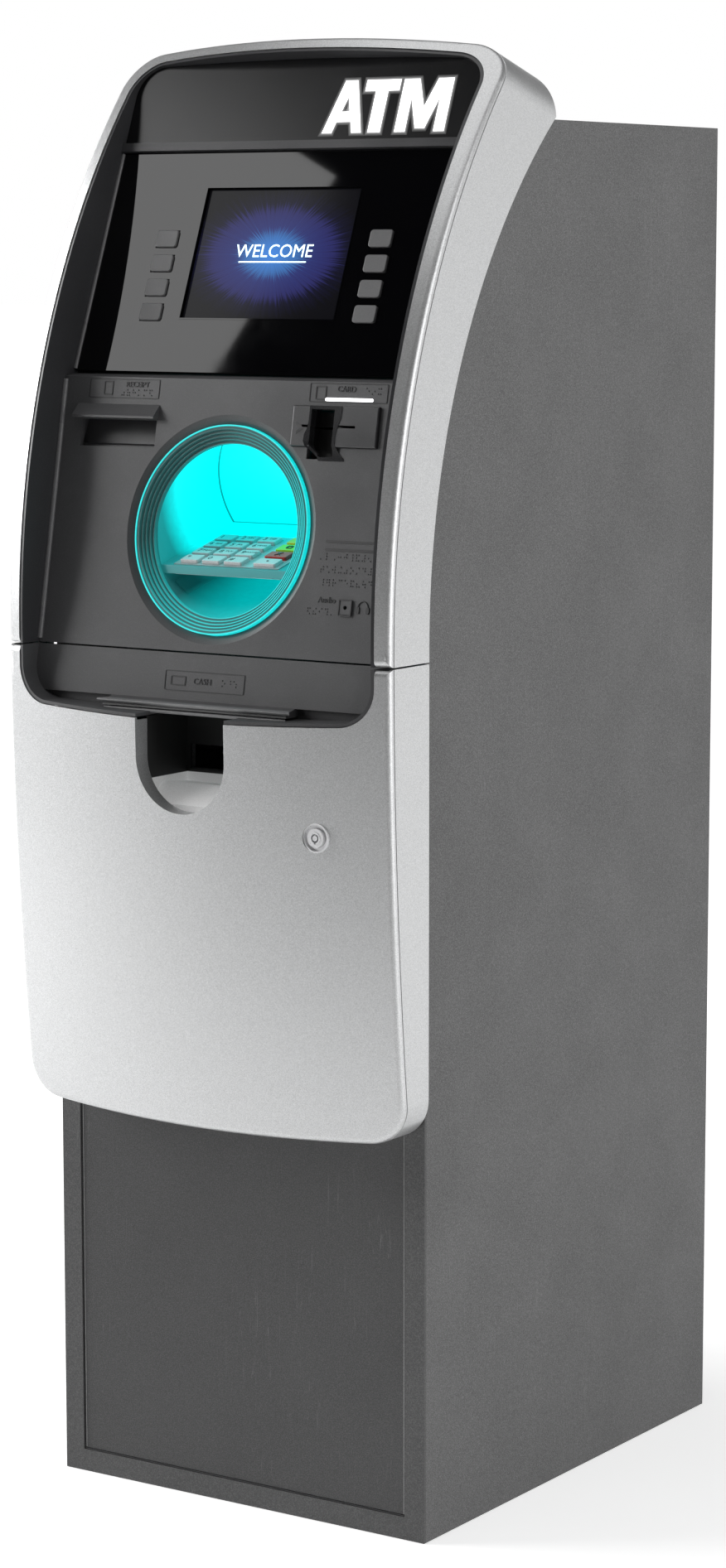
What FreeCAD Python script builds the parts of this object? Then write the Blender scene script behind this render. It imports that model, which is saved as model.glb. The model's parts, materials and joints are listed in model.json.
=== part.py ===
import FreeCAD, Part
import os
from math import asin, cos, radians, sin, sqrt, tan

# Compact retail cash machine. Millimetres, +Z up, the user stands on the -Y side.
# Everything is laid out from the cabinet's front face (y = 0) and then moved back by half the
# cabinet's depth, so that the origin is the centre of the four floor anchor holes at the underside.

V = FreeCAD.Vector

# Cabinet
CAB_W = 396.0
CAB_D = 500.0
CAB_H = 1232.0
SHEET = 2.0
FRAME_T = 3.0
FRAME_BORDER = 20.4
FRAME_RETURN = 40.0
BASE_T = 6.0
ANCHOR_X = 168.0
ANCHOR_Y = 170.0
ANCHOR_R = 7.0
SHELF_Z = 748.0
VAULT_TOP_Z = 600.0
TOP_FRONT_Y = 168.0

# Fascia, a barrel shape: crowned across its width and curved from top to bottom
FASCIA_HALF = 203.0
FASCIA_T = 3.0
EDGE_Y = -61.4
CROWN_R = 870.0
CREST_Z = 790.0
UPPER_R = 745.0
LOWER_R = 3730.0
FASCIA_TOP = 1303.0
TOP_FRONT = 113.0
TOP_SLOPE = 0.30
TOP_CORNER = 40.0
FASCIA_BOTTOM = 357.4
BOTTOM_CORNER = 36.0
ARCH_R = 3300.0
REAR_GAP = 1.5
REAR_ARC_R = 590.0
HOOD_REAR_Y = 200.0
SEAM_Z = 774.0
SEAM_GAP = 1.5
EDGE_FILLET = 6.0
GROOVE = (4.9, 6.1)
GROOVE_DEPTH = 0.8

# Opening through the fascia and the dark bezel that lines it
OPEN_HALF = 189.0
OPEN_TOP = 1292.0
OPEN_BOTTOM = 719.0
OPEN_CORNER = 34.0
BEZEL_GAP = 0.6
BEZEL_T = 2.9
PANEL_HALF = 185.2

# Screen and sign plane, control panel plane, keypad pocket
SCREEN_TILT = 21.3
SCREEN_REF = V(0, 13.9, 1012)
CONTROL_TILT = 10.4
RING_Z = 880.0
CONTROL_REF = V(0, -21.7, RING_Z)
POCKET_TILT = -16.0
PANEL_T = 5.0
SIGN_Z = (1213.5, 1300.0)
SCREEN_Z = (1013.5, 1205.5)
LEDGE_Z = 1008.5
LCD_HALF = 82.5
LCD_S = (51.5, 174.0)
FKEY_X = 114.0
FKEY_S0 = 56.7
FKEY_PITCH = 22.9
FKEY_SIZE = (23.0, 16.0)
RING_DISH_R = 100.0
RING_R = 91.5
RING_INNER_R = 76.0
RING_DEPTH = 12.0
POCKET_R = 76.0
POCKET_WALL = 3.0
POCKET_LENGTH = 112.0
SHELF_TOP = -33.9
SHELF_T = 6.5
PAD_HALF = 56.0
PAD_Y = (-1.0, 74.0)
PIN_COLUMNS = ((-50.5, 18.5), (-27.5, 19.0), (-4.0, 19.0), (27.5, 23.0))
PIN_ROW_Y = 1.5
PIN_ROW_PITCH = 17.5
PIN_KEY_DEPTH = 13.5
PIN_TOP = 4.0
KEY_CLEARANCE = 0.3

# Receipt printer and card reader, in the control panel's own axes (x, depth, height)
RECEIPT_X = (-162.0, -79.5)
RECEIPT_S = (69.0, 93.5)
PRINTER_X = (-168.0, -80.0)
ROLL_AT = (88.0, 104.0)
ROLL_R = 34.0
PLATEN_AT = (27.0, 79.0)
PLATEN_R = 7.0
CARD_X = (66.0, 155.0)
CARD_S = (74.2, 109.8)
NOTCH_X = (83.0, 113.0)
NOTCH_LOW = 64.0
CARD_SLOT_S = 92.0
JACK_X = 139.0
JACK_S = -61.0
JACK_R = 1.8

# Cash outlet in the lower fascia
U_HALF = 47.0
U_CENTRE_Z = 685.5
U_LIP = 2.5
U_BACK_Y = -66.0
AWNING_HALF = 98.0
THROAT_Z = 678.0
LOCK_X = 134.4
LOCK_Z = 627.7
LOCK_RING_R = 12.7
LOCK_BODY_R = 8.2
LOCK_ROTOR_R = 5.2

# Hinges: one upright line for the vault door and the lower fascia, one across the top for the hood
DOOR_AXIS = V(-203.0, 4.0, 0)
DOOR_ROD_R = 2.5
DOOR_KNUCKLE_R = 4.5
HOOD_AXIS = V(0, 190.0, 1246.0)
HOOD_ROD_R = 3.0
HOOD_KNUCKLE_R = 6.0
HOOD_POSTS_X = (-180.0, -60.0, 50.0, 170.0)
RUNNING = 0.05

# Vault door furniture and the dispenser
DOOR_GAP = 1.5
DOOR_Y = (2.0, 8.0)
BOLT_Z = (130.0, 300.0, 470.0)
BOLT_R = 9.0
BOLT_Y = 28.0
BOLT_TIP_X = 165.0
HANDLE_X = 90.0
HANDLE_Z = 478.0
DIAL_Z = 540.0
SIDE_PLATE_X = 140.0
ROLLER_R = 13.0
ROLLER_Y = 40.0
ROLLER_GAP = 0.6
CASSETTE_HALF = 122.0
CASSETTE_Y = (102.0, 430.0)
CASSETTE_Z = (88.0, 228.0)

ORIGIN_SHIFT = V(0, -CAB_D / 2, 0)
FAR = 900.0


def box(x, y, z):
    """A box from (low, high) pairs."""
    return Part.makeBox(x[1] - x[0], y[1] - y[0], z[1] - z[0], V(x[0], y[0], z[0]))


def rod(radius, start, end):
    return Part.makeCylinder(radius, (end - start).Length, start, end - start)


def tube(outer, inner, start, end):
    return rod(outer, start, end).cut(rod(inner, start, end))


def fuse(shapes):
    return shapes[0].multiFuse(list(shapes[1:])).removeSplitter()


def mirror_x(shape):
    return shape.mirror(V(0, 0, 0), V(1, 0, 0))


def poly(points):
    corners = [V(*p) for p in points]
    return Part.Face(Part.makePolygon(corners + corners[:1]))


def prism_x(points, x):
    """Points are (y, z); the prism runs from x[0] to x[1]."""
    return poly([(x[0], y, z) for y, z in points]).extrude(V(x[1] - x[0], 0, 0))


def tilted(shape, origin, tilt):
    """Moves a shape from a panel's own axes (x, depth, height) to the object."""
    out = shape.copy()
    out.rotate(V(0, 0, 0), V(1, 0, 0), -tilt)
    out.translate(origin)
    return out


def on_screen(shape):
    return tilted(shape, SCREEN_REF, SCREEN_TILT)


def on_control(shape):
    return tilted(shape, CONTROL_REF, CONTROL_TILT)


def in_pocket(shape):
    return tilted(shape, CONTROL_REF, POCKET_TILT)


def screen_s(z):
    return (z - SCREEN_REF.z) / cos(radians(SCREEN_TILT))


def control_s(z):
    return (z - CONTROL_REF.z) / cos(radians(CONTROL_TILT))


def screen_y(z):
    return SCREEN_REF.y + (z - SCREEN_REF.z) * tan(radians(SCREEN_TILT))


def control_y(z):
    return CONTROL_REF.y + (z - CONTROL_REF.z) * tan(radians(CONTROL_TILT))


def arch_corner(half, end_z, corner, up):
    """Tangent points and corner arc between an upright side and a gently arched end."""
    centre_z = end_z - up * ARCH_R
    reach = sqrt((ARCH_R - corner) ** 2 - (half - corner) ** 2)
    corner_z = centre_z + up * reach
    lean = asin((half - corner) / (ARCH_R - corner))
    middle = (radians(90) - lean) / 2
    side = V(half, 0, corner_z)
    bend = V(half - corner + corner * cos(middle), 0, corner_z + up * corner * sin(middle))
    tip = V(ARCH_R * sin(lean), 0, centre_z + up * ARCH_R * cos(lean))
    return side, bend, tip


def arched_outline(half, bottom, bottom_corner, top, top_corner):
    """A rounded rectangle in the XZ plane with slightly arched top and bottom edges."""
    right_top = arch_corner(half, top, top_corner, 1)
    right_low = arch_corner(half, bottom, bottom_corner, -1)
    left_top = [V(-p.x, 0, p.z) for p in right_top]
    left_low = [V(-p.x, 0, p.z) for p in right_low]
    edges = [
        Part.LineSegment(right_low[0], right_top[0]),
        Part.Arc(right_top[0], right_top[1], right_top[2]),
        Part.Arc(right_top[2], V(0, 0, top), left_top[2]),
        Part.Arc(left_top[2], left_top[1], left_top[0]),
        Part.LineSegment(left_top[0], left_low[0]),
        Part.Arc(left_low[0], left_low[1], left_low[2]),
        Part.Arc(left_low[2], V(0, 0, bottom), right_low[2]),
        Part.Arc(right_low[2], right_low[1], right_low[0]),
    ]
    return Part.Face(Part.Wire([e.toShape() for e in edges]))


def sloped_prism(outline, top_front):
    """Extrudes an outline backwards and down, along the slope of the hood's top."""
    front = top_front + 220.0
    shape = outline.copy()
    shape.translate(V(0, top_front - front, TOP_SLOPE * front))
    return shape.extrude(V(0, 500, -TOP_SLOPE * 500))


def straight_prism(outline):
    shape = outline.copy()
    shape.translate(V(0, -220, 0))
    return shape.extrude(V(0, 500, 0))


def barrel(inset):
    """The fascia's crowned and curved front, as a thick solid; inset moves its front inwards."""
    half = FASCIA_HALF + 4.0
    radius = CROWN_R - inset
    crest = EDGE_Y - (CROWN_R - sqrt(CROWN_R ** 2 - FASCIA_HALF ** 2)) + inset
    side_y = crest + radius - sqrt(radius ** 2 - half ** 2)
    back_y = 299.0
    left, right = V(-half, side_y, CREST_Z), V(half, side_y, CREST_Z)
    back_right, back_left = V(half, back_y, CREST_Z), V(-half, back_y, CREST_Z)
    wire = Part.Wire([
        Part.Arc(left, V(0, crest, CREST_Z), right).toShape(),
        Part.makeLine(right, back_right),
        Part.makeLine(back_right, back_left),
        Part.makeLine(back_left, left),
    ])
    face = Part.Face(wire)
    upper = face.revolve(V(0, EDGE_Y + UPPER_R, CREST_Z), V(-1, 0, 0), 46)
    lower = face.revolve(V(0, EDGE_Y + LOWER_R, CREST_Z), V(1, 0, 0), 8)
    return upper, lower


def fascia_outline(inset):
    return arched_outline(FASCIA_HALF - inset, FASCIA_BOTTOM + inset, BOTTOM_CORNER - inset,
                          FASCIA_TOP - inset, TOP_CORNER - inset)


def opening_outline(inset, bottom=OPEN_BOTTOM):
    return arched_outline(OPEN_HALF - inset, bottom + inset, OPEN_CORNER - inset,
                          OPEN_TOP - inset, OPEN_CORNER - inset)


def hood_opening(inset):
    """The hood's share of the opening: open downwards, closed at the rear."""
    prism = sloped_prism(opening_outline(inset, OPEN_BOTTOM - 150), TOP_FRONT)
    return prism.common(box((-FAR, FAR), (-FAR, HOOD_REAR_Y - 30), (0, 2 * FAR)))


def hood_side_cut():
    """Side view of the hood: its rear edge sweeps back in an arc to the rear wall."""
    low = SEAM_Z + SEAM_GAP / 2
    centre_y = REAR_ARC_R - REAR_GAP
    end_z = CREST_Z + sqrt(REAR_ARC_R ** 2 - (centre_y - HOOD_REAR_Y) ** 2)
    mid_z = (CREST_Z + end_z) / 2
    mid_y = centre_y - sqrt(REAR_ARC_R ** 2 - (mid_z - CREST_Z) ** 2)
    x = -FAR / 2
    start, end = V(x, -REAR_GAP, CREST_Z), V(x, HOOD_REAR_Y, end_z)
    corners = [end, V(x, HOOD_REAR_Y, 1400), V(x, -200, 1400), V(x, -200, low),
               V(x, -REAR_GAP, low), start]
    edges = [Part.Arc(start, V(x, mid_y, mid_z), end).toShape()]
    edges += [Part.makeLine(a, b) for a, b in zip(corners, corners[1:])]
    return Part.Face(Part.Wire(edges)).extrude(V(FAR, 0, 0))


def edge_groove(prism):
    """Fine groove where the rounded front edge meets the flange; prism is inset by its depth."""
    rings = []
    for outer, inner in zip(barrel(GROOVE[0]), barrel(GROOVE[1])):
        rings.append(outer.cut(inner).cut(prism))
    return rings


def front_edges(shape, z):
    """The long edges around the front face of the fascia, between the heights z."""
    found = []
    for edge in shape.Edges:
        b = edge.BoundBox
        middle = edge.valueAt((edge.FirstParameter + edge.LastParameter) / 2)
        depth = middle.y - surface_y(middle.x, middle.z)
        if abs(depth) < 0.5 and b.ZMin > z[0] and b.ZMax < z[1]:
            found.append(edge)
    return found


def surface_y(x, z):
    """Depth of the fascia's outer surface at x and z."""
    crown = sqrt(CROWN_R ** 2 - FASCIA_HALF ** 2) - sqrt(CROWN_R ** 2 - x ** 2)
    if z >= CREST_Z:
        radius = UPPER_R - crown
        return EDGE_Y + UPPER_R - sqrt(radius ** 2 - (z - CREST_Z) ** 2)
    radius = LOWER_R - crown
    return EDGE_Y + LOWER_R - sqrt(radius ** 2 - (z - CREST_Z) ** 2)


# ---- cabinet ---------------------------------------------------------------------------------


def cabinet_shell():
    """Folded sheet: two sides and the top. The front edges sweep back under the hood."""
    arc_low, arc_r = 905.0, 560.0
    top = CAB_H - SHEET
    y_low, y_top = FRAME_T, FRAME_T + arc_r - sqrt(arc_r ** 2 - (top - arc_low) ** 2)
    mid_z = (arc_low + top) / 2
    mid_y = FRAME_T + arc_r - sqrt(arc_r ** 2 - (mid_z - arc_low) ** 2)
    x = CAB_W / 2 - SHEET
    edges = [
        Part.makeLine(V(x, y_low, 0), V(x, y_low, arc_low)),
        Part.Arc(V(x, y_low, arc_low), V(x, mid_y, mid_z), V(x, y_top, top)).toShape(),
        Part.makeLine(V(x, y_top, top), V(x, CAB_D, top)),
        Part.makeLine(V(x, CAB_D, top), V(x, CAB_D, 0)),
        Part.makeLine(V(x, CAB_D, 0), V(x, y_low, 0)),
    ]
    right = Part.Face(Part.Wire(edges)).extrude(V(SHEET, 0, 0))
    half = CAB_W / 2
    top_sheet = box((-half, half), (TOP_FRONT_Y, CAB_D), (CAB_H - SHEET, CAB_H))
    return fuse([top_sheet, right, mirror_x(right)])


def rear_panel():
    half = CAB_W / 2 - SHEET
    panel = box((-half, half), (CAB_D - SHEET, CAB_D), (0, CAB_H - SHEET))
    cuts = []
    for row in range(9):
        z = 1060 + 11 * row
        cuts += [box((x, x + 50), (CAB_D - 10, CAB_D + 1), (z, z + 4)) for x in (-120, -60, 0, 60)]
    cuts.append(box((-121, -69), (CAB_D - 10, CAB_D + 1), (779, 809)))
    return panel.cut(Part.Compound(cuts))


def base_plate():
    half = CAB_W / 2 - SHEET
    plate = box((-half, half), (FRAME_T, CAB_D - SHEET), (0, BASE_T))
    middle = CAB_D / 2
    holes = [rod(ANCHOR_R, V(x, y, -1), V(x, y, BASE_T + 1))
             for x in (-ANCHOR_X, ANCHOR_X) for y in (middle - ANCHOR_Y, middle + ANCHOR_Y)]
    return plate.cut(Part.Compound(holes))


def front_frame():
    """Sill, two jambs with returns, and the header with the note throat, welded up as four pieces."""
    outer = CAB_W / 2
    inner = outer - FRAME_BORDER
    back = (FRAME_T, FRAME_RETURN)
    lip = 2.5
    left = fuse([box((-outer, -inner), (0, FRAME_T), (0, SEAM_Z)),
                 box((-inner - lip, -inner), back, (BASE_T, SEAM_Z))])
    right = mirror_x(left)
    holes = [rod(BOLT_R + 1.5, V(inner - 5, BOLT_Y, z), V(inner + 5, BOLT_Y, z)) for z in BOLT_Z]
    keeper_z = (LOCK_Z - 15, LOCK_Z + 10)
    keeper = [box((inner + 1, inner + 4), (-52, 0), keeper_z),
              box((inner - 16, inner + 4), (-52, -49), keeper_z)]
    right = fuse([right.cut(Part.Compound(holes))] + keeper)
    sill = fuse([box((-inner, inner), (0, FRAME_T), (0, FRAME_BORDER)),
                 box((-inner, inner), back, (FRAME_BORDER - lip, FRAME_BORDER))])
    header = fuse([box((-inner, inner), (0, FRAME_T), (VAULT_TOP_Z, SEAM_Z)),
                   box((-inner, inner), back, (VAULT_TOP_Z, VAULT_TOP_Z + lip))])
    throat = box((-46, 46), (-1, FRAME_T + 1), (THROAT_Z - 11, THROAT_Z + 11))
    return Part.Compound([left, right, sill, header.cut(throat)])


def vault_shelf():
    """Steel deck between the vault and the electronics above it."""
    half = CAB_W / 2 - SHEET
    deck = box((-half, half), (FRAME_RETURN + 1, CAB_D - SHEET), (SHELF_Z, SHELF_Z + 3))
    cable_way = rod(18, V(140, 440, SHELF_Z - 1), V(140, 440, SHELF_Z + 5))
    return deck.cut(cable_way)


def power_supply():
    """Switched supply with its mains inlet and rocker switch facing out of the rear panel."""
    z0 = SHELF_Z + 3
    case = box((-150, -40), (360, CAB_D - 6), (z0, z0 + 90))
    inlet = box((-120, -70), (CAB_D - 6, CAB_D), (780, 808))
    socket = box((-117, -93), (CAB_D - 16, CAB_D + 1), (784, 804))
    pins = [box((x, x + 2), (CAB_D - 16, CAB_D - 8), (z, z + 5))
            for x, z in ((-113, 788), (-106, 794), (-99, 788))]
    rocker = box((-88, -74), (CAB_D, CAB_D + 2), (785, 803))
    return fuse([case, inlet]).cut(socket).multiFuse(pins + [rocker]).removeSplitter()


def control_computer():
    z0 = SHELF_Z + 3
    case = box((-20, 150), (300, 450), (z0, z0 + 170))
    ribs = [box((-12 + 16 * i, -8 + 16 * i), (310, 440), (z0 + 170, z0 + 176)) for i in range(10)]
    ports = [box((8 + 34 * i, 30 + 34 * i), (290, 306), (z0 + 20, z0 + 34)) for i in range(4)]
    return fuse([case] + ribs).cut(Part.Compound(ports))


def dispenser_frame():
    """Two side plates tied by cross plates; carries the rollers and the cassette deck."""
    thick = 3.0
    x = SIDE_PLATE_X
    clear_of_door, nose = 52.0, 22.0
    back, top = 432.0, 725.0
    profile = [(clear_of_door, BASE_T), (back, BASE_T), (back, top), (nose, top), (nose, 612),
               (clear_of_door, 612)]
    plates = [prism_x(profile, (x, x + thick)), prism_x(profile, (-x - thick, -x))]
    span = (-x, x)
    ties = [box(span, (56, 430), (top - thick, top)),
            box(span, (56, 430), (BASE_T, BASE_T + thick)),
            box(span, (100, 432), (CASSETTE_Z[0] - 4, CASSETTE_Z[0] - 1)),
            box(span, (429, 432), (240, 640)),
            box(span, (60, 180), (CASSETTE_Z[1] + 40, CASSETTE_Z[1] + 43))]
    guides = [box((-130, 130), (56, 120), (THROAT_Z - 8, THROAT_Z - 6)),
              box((-130, 130), (56, 120), (THROAT_Z + 6, THROAT_Z + 8))]
    links = [box(side, (60, 110), (THROAT_Z - 8, THROAT_Z + 8)) for side in ((-x, -130), (130, x))]
    offset = ROLLER_R + ROLLER_GAP / 2
    bores = [rod(5 + RUNNING, V(-x - 9, ROLLER_Y, z), V(x + 9, ROLLER_Y, z))
             for z in (THROAT_Z - offset, THROAT_Z + offset)]
    return fuse(plates + ties + guides + links).cut(Part.Compound(bores))


def note_roller(z):
    """A shaft with three rubber-faced rollers, journalled in the side plates."""
    end = SIDE_PLATE_X + 6
    parts = [rod(5, V(-end, ROLLER_Y, z), V(end, ROLLER_Y, z))]
    for x in (-80, -15, 50):
        parts.append(rod(ROLLER_R, V(x, ROLLER_Y, z), V(x + 30, ROLLER_Y, z)))
    flat = box((end - 5, end + 1), (ROLLER_Y + 3, ROLLER_Y + 9), (z - 9, z + 9))
    return fuse(parts).cut(flat)


def cash_cassette():
    """Lockable note box: hollow, with a pick window in its lid and a carrying handle in front."""
    wall = 3.0
    x = (-CASSETTE_HALF, CASSETTE_HALF)
    case = box(x, CASSETTE_Y, CASSETTE_Z)
    room = box((x[0] + wall, x[1] - wall), (CASSETTE_Y[0] + wall, CASSETTE_Y[1] - wall),
               (CASSETTE_Z[0] + wall, CASSETTE_Z[1] - wall))
    window = box((-95, 95), (CASSETTE_Y[0] + 14, CASSETTE_Y[0] + 80),
                 (CASSETTE_Z[1] - 9, CASSETTE_Z[1] + 1))
    z = 170.0
    legs = [box(side, (CASSETTE_Y[0] - 20, CASSETTE_Y[0]), (z - 5, z + 5))
            for side in ((-55, -47), (47, 55))]
    bar = rod(5, V(-55, CASSETTE_Y[0] - 20, z), V(55, CASSETTE_Y[0] - 20, z))
    return fuse([case.cut(room).cut(window)] + legs + [bar])


def door_hinge():
    """Fixed half of the upright hinge: leaf, knuckles and the long pin on the cabinet's left side."""
    x, y = DOOR_AXIS.x, DOOR_AXIS.y
    reach = DOOR_KNUCKLE_R + 1.0
    leaf = box((-CAB_W / 2 - 1.5, -CAB_W / 2), (y + reach, 42), (400, 700))
    solids = [leaf, rod(DOOR_ROD_R, V(x, y, 398), V(x, y, 702))]
    for z in ((400, 428), (462, 500), (552, 576), (662, 700)):
        knuckle = rod(DOOR_KNUCKLE_R, V(x, y, z[0]), V(x, y, z[1]))
        web = box((x, -CAB_W / 2), (y, y + reach + 1), z)
        solids += [knuckle, web]
    return fuse(solids)


def hood_hinge():
    """Fixed half of the hood's hinge: four brackets on the cabinet's top and the long pin."""
    y, z = HOOD_AXIS.y, HOOD_AXIS.z
    solids = [rod(HOOD_ROD_R, V(-186, y, z), V(186, y, z))]
    for x in HOOD_POSTS_X:
        solids.append(rod(HOOD_KNUCKLE_R, V(x, y, z), V(x + 10, y, z)))
        solids.append(box((x, x + 10), (y - 5, y + 5), (CAB_H, z)))
    return fuse(solids)


# ---- vault door ------------------------------------------------------------------------------


def vault_door():
    """Thick steel door with strap hinges, bolt guides, a lock case and the dial's ring."""
    half = CAB_W / 2 - FRAME_BORDER - DOOR_GAP
    z = (FRAME_BORDER + DOOR_GAP, VAULT_TOP_Z - DOOR_GAP)
    x, y = DOOR_AXIS.x, DOOR_AXIS.y
    parts = [box((-half, half), DOOR_Y, z)]
    bore = []
    for low, high in ((430, 460), (578, 590)):
        parts += [box((x, -120), (-5, -0.5), (low, high)),
                  box((-half + 2, -120), (-0.5, DOOR_Y[0]), (low, high)),
                  rod(DOOR_KNUCKLE_R, V(x, y, low), V(x, y, high)),
                  box((x - 3, x + DOOR_KNUCKLE_R), (-5, y - 1), (low, high))]
    bore.append(rod(DOOR_ROD_R + RUNNING, V(x, y, 380), V(x, y, 720)))
    for bz in BOLT_Z:
        for gx in (112.0, 146.0):
            parts.append(box((gx, gx + 8), (DOOR_Y[1], BOLT_Y + 16), (bz - 16, bz + 16)))
        bore.append(rod(BOLT_R + RUNNING, V(100, BOLT_Y, bz), V(170, BOLT_Y, bz)))
    parts.append(box((60, 120), (DOOR_Y[1], 36), (DIAL_Z - 22, DIAL_Z + 30)))
    parts.append(rod(30, V(HANDLE_X, -6, DIAL_Z), V(HANDLE_X, DOOR_Y[0], DIAL_Z)))
    parts.append(rod(15, V(HANDLE_X, -4, HANDLE_Z), V(HANDLE_X, DOOR_Y[0], HANDLE_Z)))
    parts.append(box((-half + 8, half - 8), (DOOR_Y[1], 26), (z[0] + 6, z[0] + 9)))
    parts.append(box((-half + 8, half - 8), (DOOR_Y[1], 26), (z[1] - 9, z[1] - 6)))
    bore.append(rod(6 + RUNNING, V(HANDLE_X, -20, HANDLE_Z), V(HANDLE_X, 20, HANDLE_Z)))
    bore.append(rod(4 + RUNNING, V(HANDLE_X, -20, DIAL_Z), V(HANDLE_X, 22, DIAL_Z)))
    return fuse(parts).cut(Part.Compound(bore))


def lock_bolts():
    """Three round bolts on one carrier bar."""
    parts = [rod(BOLT_R, V(72, BOLT_Y, z), V(BOLT_TIP_X, BOLT_Y, z)) for z in BOLT_Z]
    parts.append(box((64, 78), (BOLT_Y - 6, BOLT_Y + 8), (BOLT_Z[0] - 14, BOLT_Z[2] + 14)))
    return fuse(parts)


def vault_handle():
    """Lever, spindle through the door and the inner crank disc."""
    x, z = HANDLE_X, HANDLE_Z
    spindle = rod(6, V(x, -40, z), V(x, 16, z))
    hub = rod(13, V(x, -42, z), V(x, -28, z))
    reach = 80.0
    lever = box((x - 7, x + 7), (-40, -31), (z - reach, z))
    lever = lever.fuse(rod(9, V(x, -40, z - reach), V(x, -31, z - reach)))
    disc = rod(16, V(x, 10, z), V(x, 16, z))
    return fuse([spindle, hub, lever, disc])


def combination_dial():
    """Knurled dial with its spindle through the door."""
    x, z = HANDLE_X, DIAL_Z
    dial = rod(26, V(x, -14, z), V(x, -6.6, z))
    grip = rod(17, V(x, -32, z), V(x, -14, z))
    flutes = []
    for i in range(16):
        turn = radians(360 * i / 16)
        at = V(x + 17.6 * cos(turn), 0, z + 17.6 * sin(turn))
        flutes.append(rod(1.6, at + V(0, -33, 0), at + V(0, -16, 0)))
    spindle = rod(4, V(x, -14, z), V(x, 20, z))
    return fuse([dial, grip.cut(Part.Compound(flutes)), spindle])


# ---- lower fascia ----------------------------------------------------------------------------


def u_prism(grow, y):
    """The cash cut-out: a round-bottomed U, open at the top."""
    half = U_HALF + grow
    top = OPEN_BOTTOM + 4.0
    edges = [
        Part.makeLine(V(-half, y[0], top), V(-half, y[0], U_CENTRE_Z)),
        Part.Arc(V(-half, y[0], U_CENTRE_Z), V(0, y[0], U_CENTRE_Z - half),
                 V(half, y[0], U_CENTRE_Z)).toShape(),
        Part.makeLine(V(half, y[0], U_CENTRE_Z), V(half, y[0], top)),
        Part.makeLine(V(half, y[0], top), V(-half, y[0], top)),
    ]
    return Part.Face(Part.Wire(edges)).extrude(V(0, y[1] - y[0], 0))


def lower_fascia():
    """Silver shell below the seam, with the U-shaped cash cut-out and its turned-in lip."""
    top = SEAM_Z - SEAM_GAP / 2
    region = box((-FAR, FAR), (-FAR, -REAR_GAP), (0, top))
    upper, lower = barrel(0)
    outer = lower.common(straight_prism(fascia_outline(0))).common(region)
    outer = outer.makeFillet(EDGE_FILLET, front_edges(outer, (FASCIA_BOTTOM - 10, SEAM_Z)))
    upper, lower = barrel(FASCIA_T)
    inner = lower.common(straight_prism(fascia_outline(FASCIA_T)))
    shell = outer.cut(inner)
    shell = shell.cut(straight_prism(opening_outline(0)))
    shell = shell.cut(u_prism(0, (-200, U_BACK_Y + 6)))
    shell = shell.cut(edge_groove(straight_prism(fascia_outline(GROOVE_DEPTH)))[1])
    lip = u_prism(U_LIP, (-200, U_BACK_Y)).cut(u_prism(0, (-200, U_BACK_Y)))
    lip = lip.common(barrel(0)[1]).common(box((-FAR, FAR), (-FAR, FAR), (0, OPEN_BOTTOM - 2)))
    shell = fuse([shell, lip])
    shell = shell.cut(rod(LOCK_RING_R + 0.1, V(LOCK_X, -100, LOCK_Z), V(LOCK_X, -50, LOCK_Z)))
    notches = [box((-FASCIA_HALF - 1, -FASCIA_HALF + 4), (-6.5, 0), z) for z in ((429, 461), (577, 591))]
    shell = shell.cut(Part.Compound(notches))
    x, y = DOOR_AXIS.x, DOOR_AXIS.y
    leaves = []
    for low, high in ((501, 551), (592, 661)):
        leaf = box((x - 1.5, x), (-22, y), (low, high))
        leaves += [leaf, rod(DOOR_KNUCKLE_R, V(x, y, low), V(x, y, high))]
    shell = fuse([shell] + leaves)
    return shell.cut(rod(DOOR_ROD_R + RUNNING, V(x, y, 380), V(x, y, 720)))


def lower_bezel():
    """Dark lining below the seam: side walls, the foot of the control panel and the cash awning."""
    top = SEAM_Z - SEAM_GAP / 2
    ring = straight_prism(opening_outline(BEZEL_GAP))
    ring = ring.cut(straight_prism(opening_outline(BEZEL_GAP + BEZEL_T)))
    low_z = 733.0
    profile = [(-200, 700), (control_y(low_z) + 12, 700), (control_y(low_z) + 12, low_z),
               (control_y(top) + 12, top), (-200, top)]
    ring = ring.common(prism_x(profile, (-FAR, FAR))).common(barrel(1.0)[1])
    panel = on_control(box((-PANEL_HALF - 0.5, PANEL_HALF + 0.5), (0, PANEL_T),
                           (control_s(low_z), control_s(top))))
    panel = panel.common(box((-FAR, FAR), (-FAR, FAR), (0, top)))
    back = box((-PANEL_HALF, PANEL_HALF), (control_y(low_z) + 4, control_y(low_z) + 9), (720, low_z + 4))
    y0 = control_y(low_z)
    awning = prism_x([(y0 + 4, low_z + 1), (y0 - 13, low_z - 3), (y0 - 14, low_z - 7), (y0 + 4, low_z - 7)],
                     (-AWNING_HALF, AWNING_HALF))
    body = fuse([ring, panel, back, awning])
    mouth = box((-U_HALF, U_HALF), (-200, control_y(low_z) + 20), (700, low_z - 8))
    return body.cut(mouth)


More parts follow.
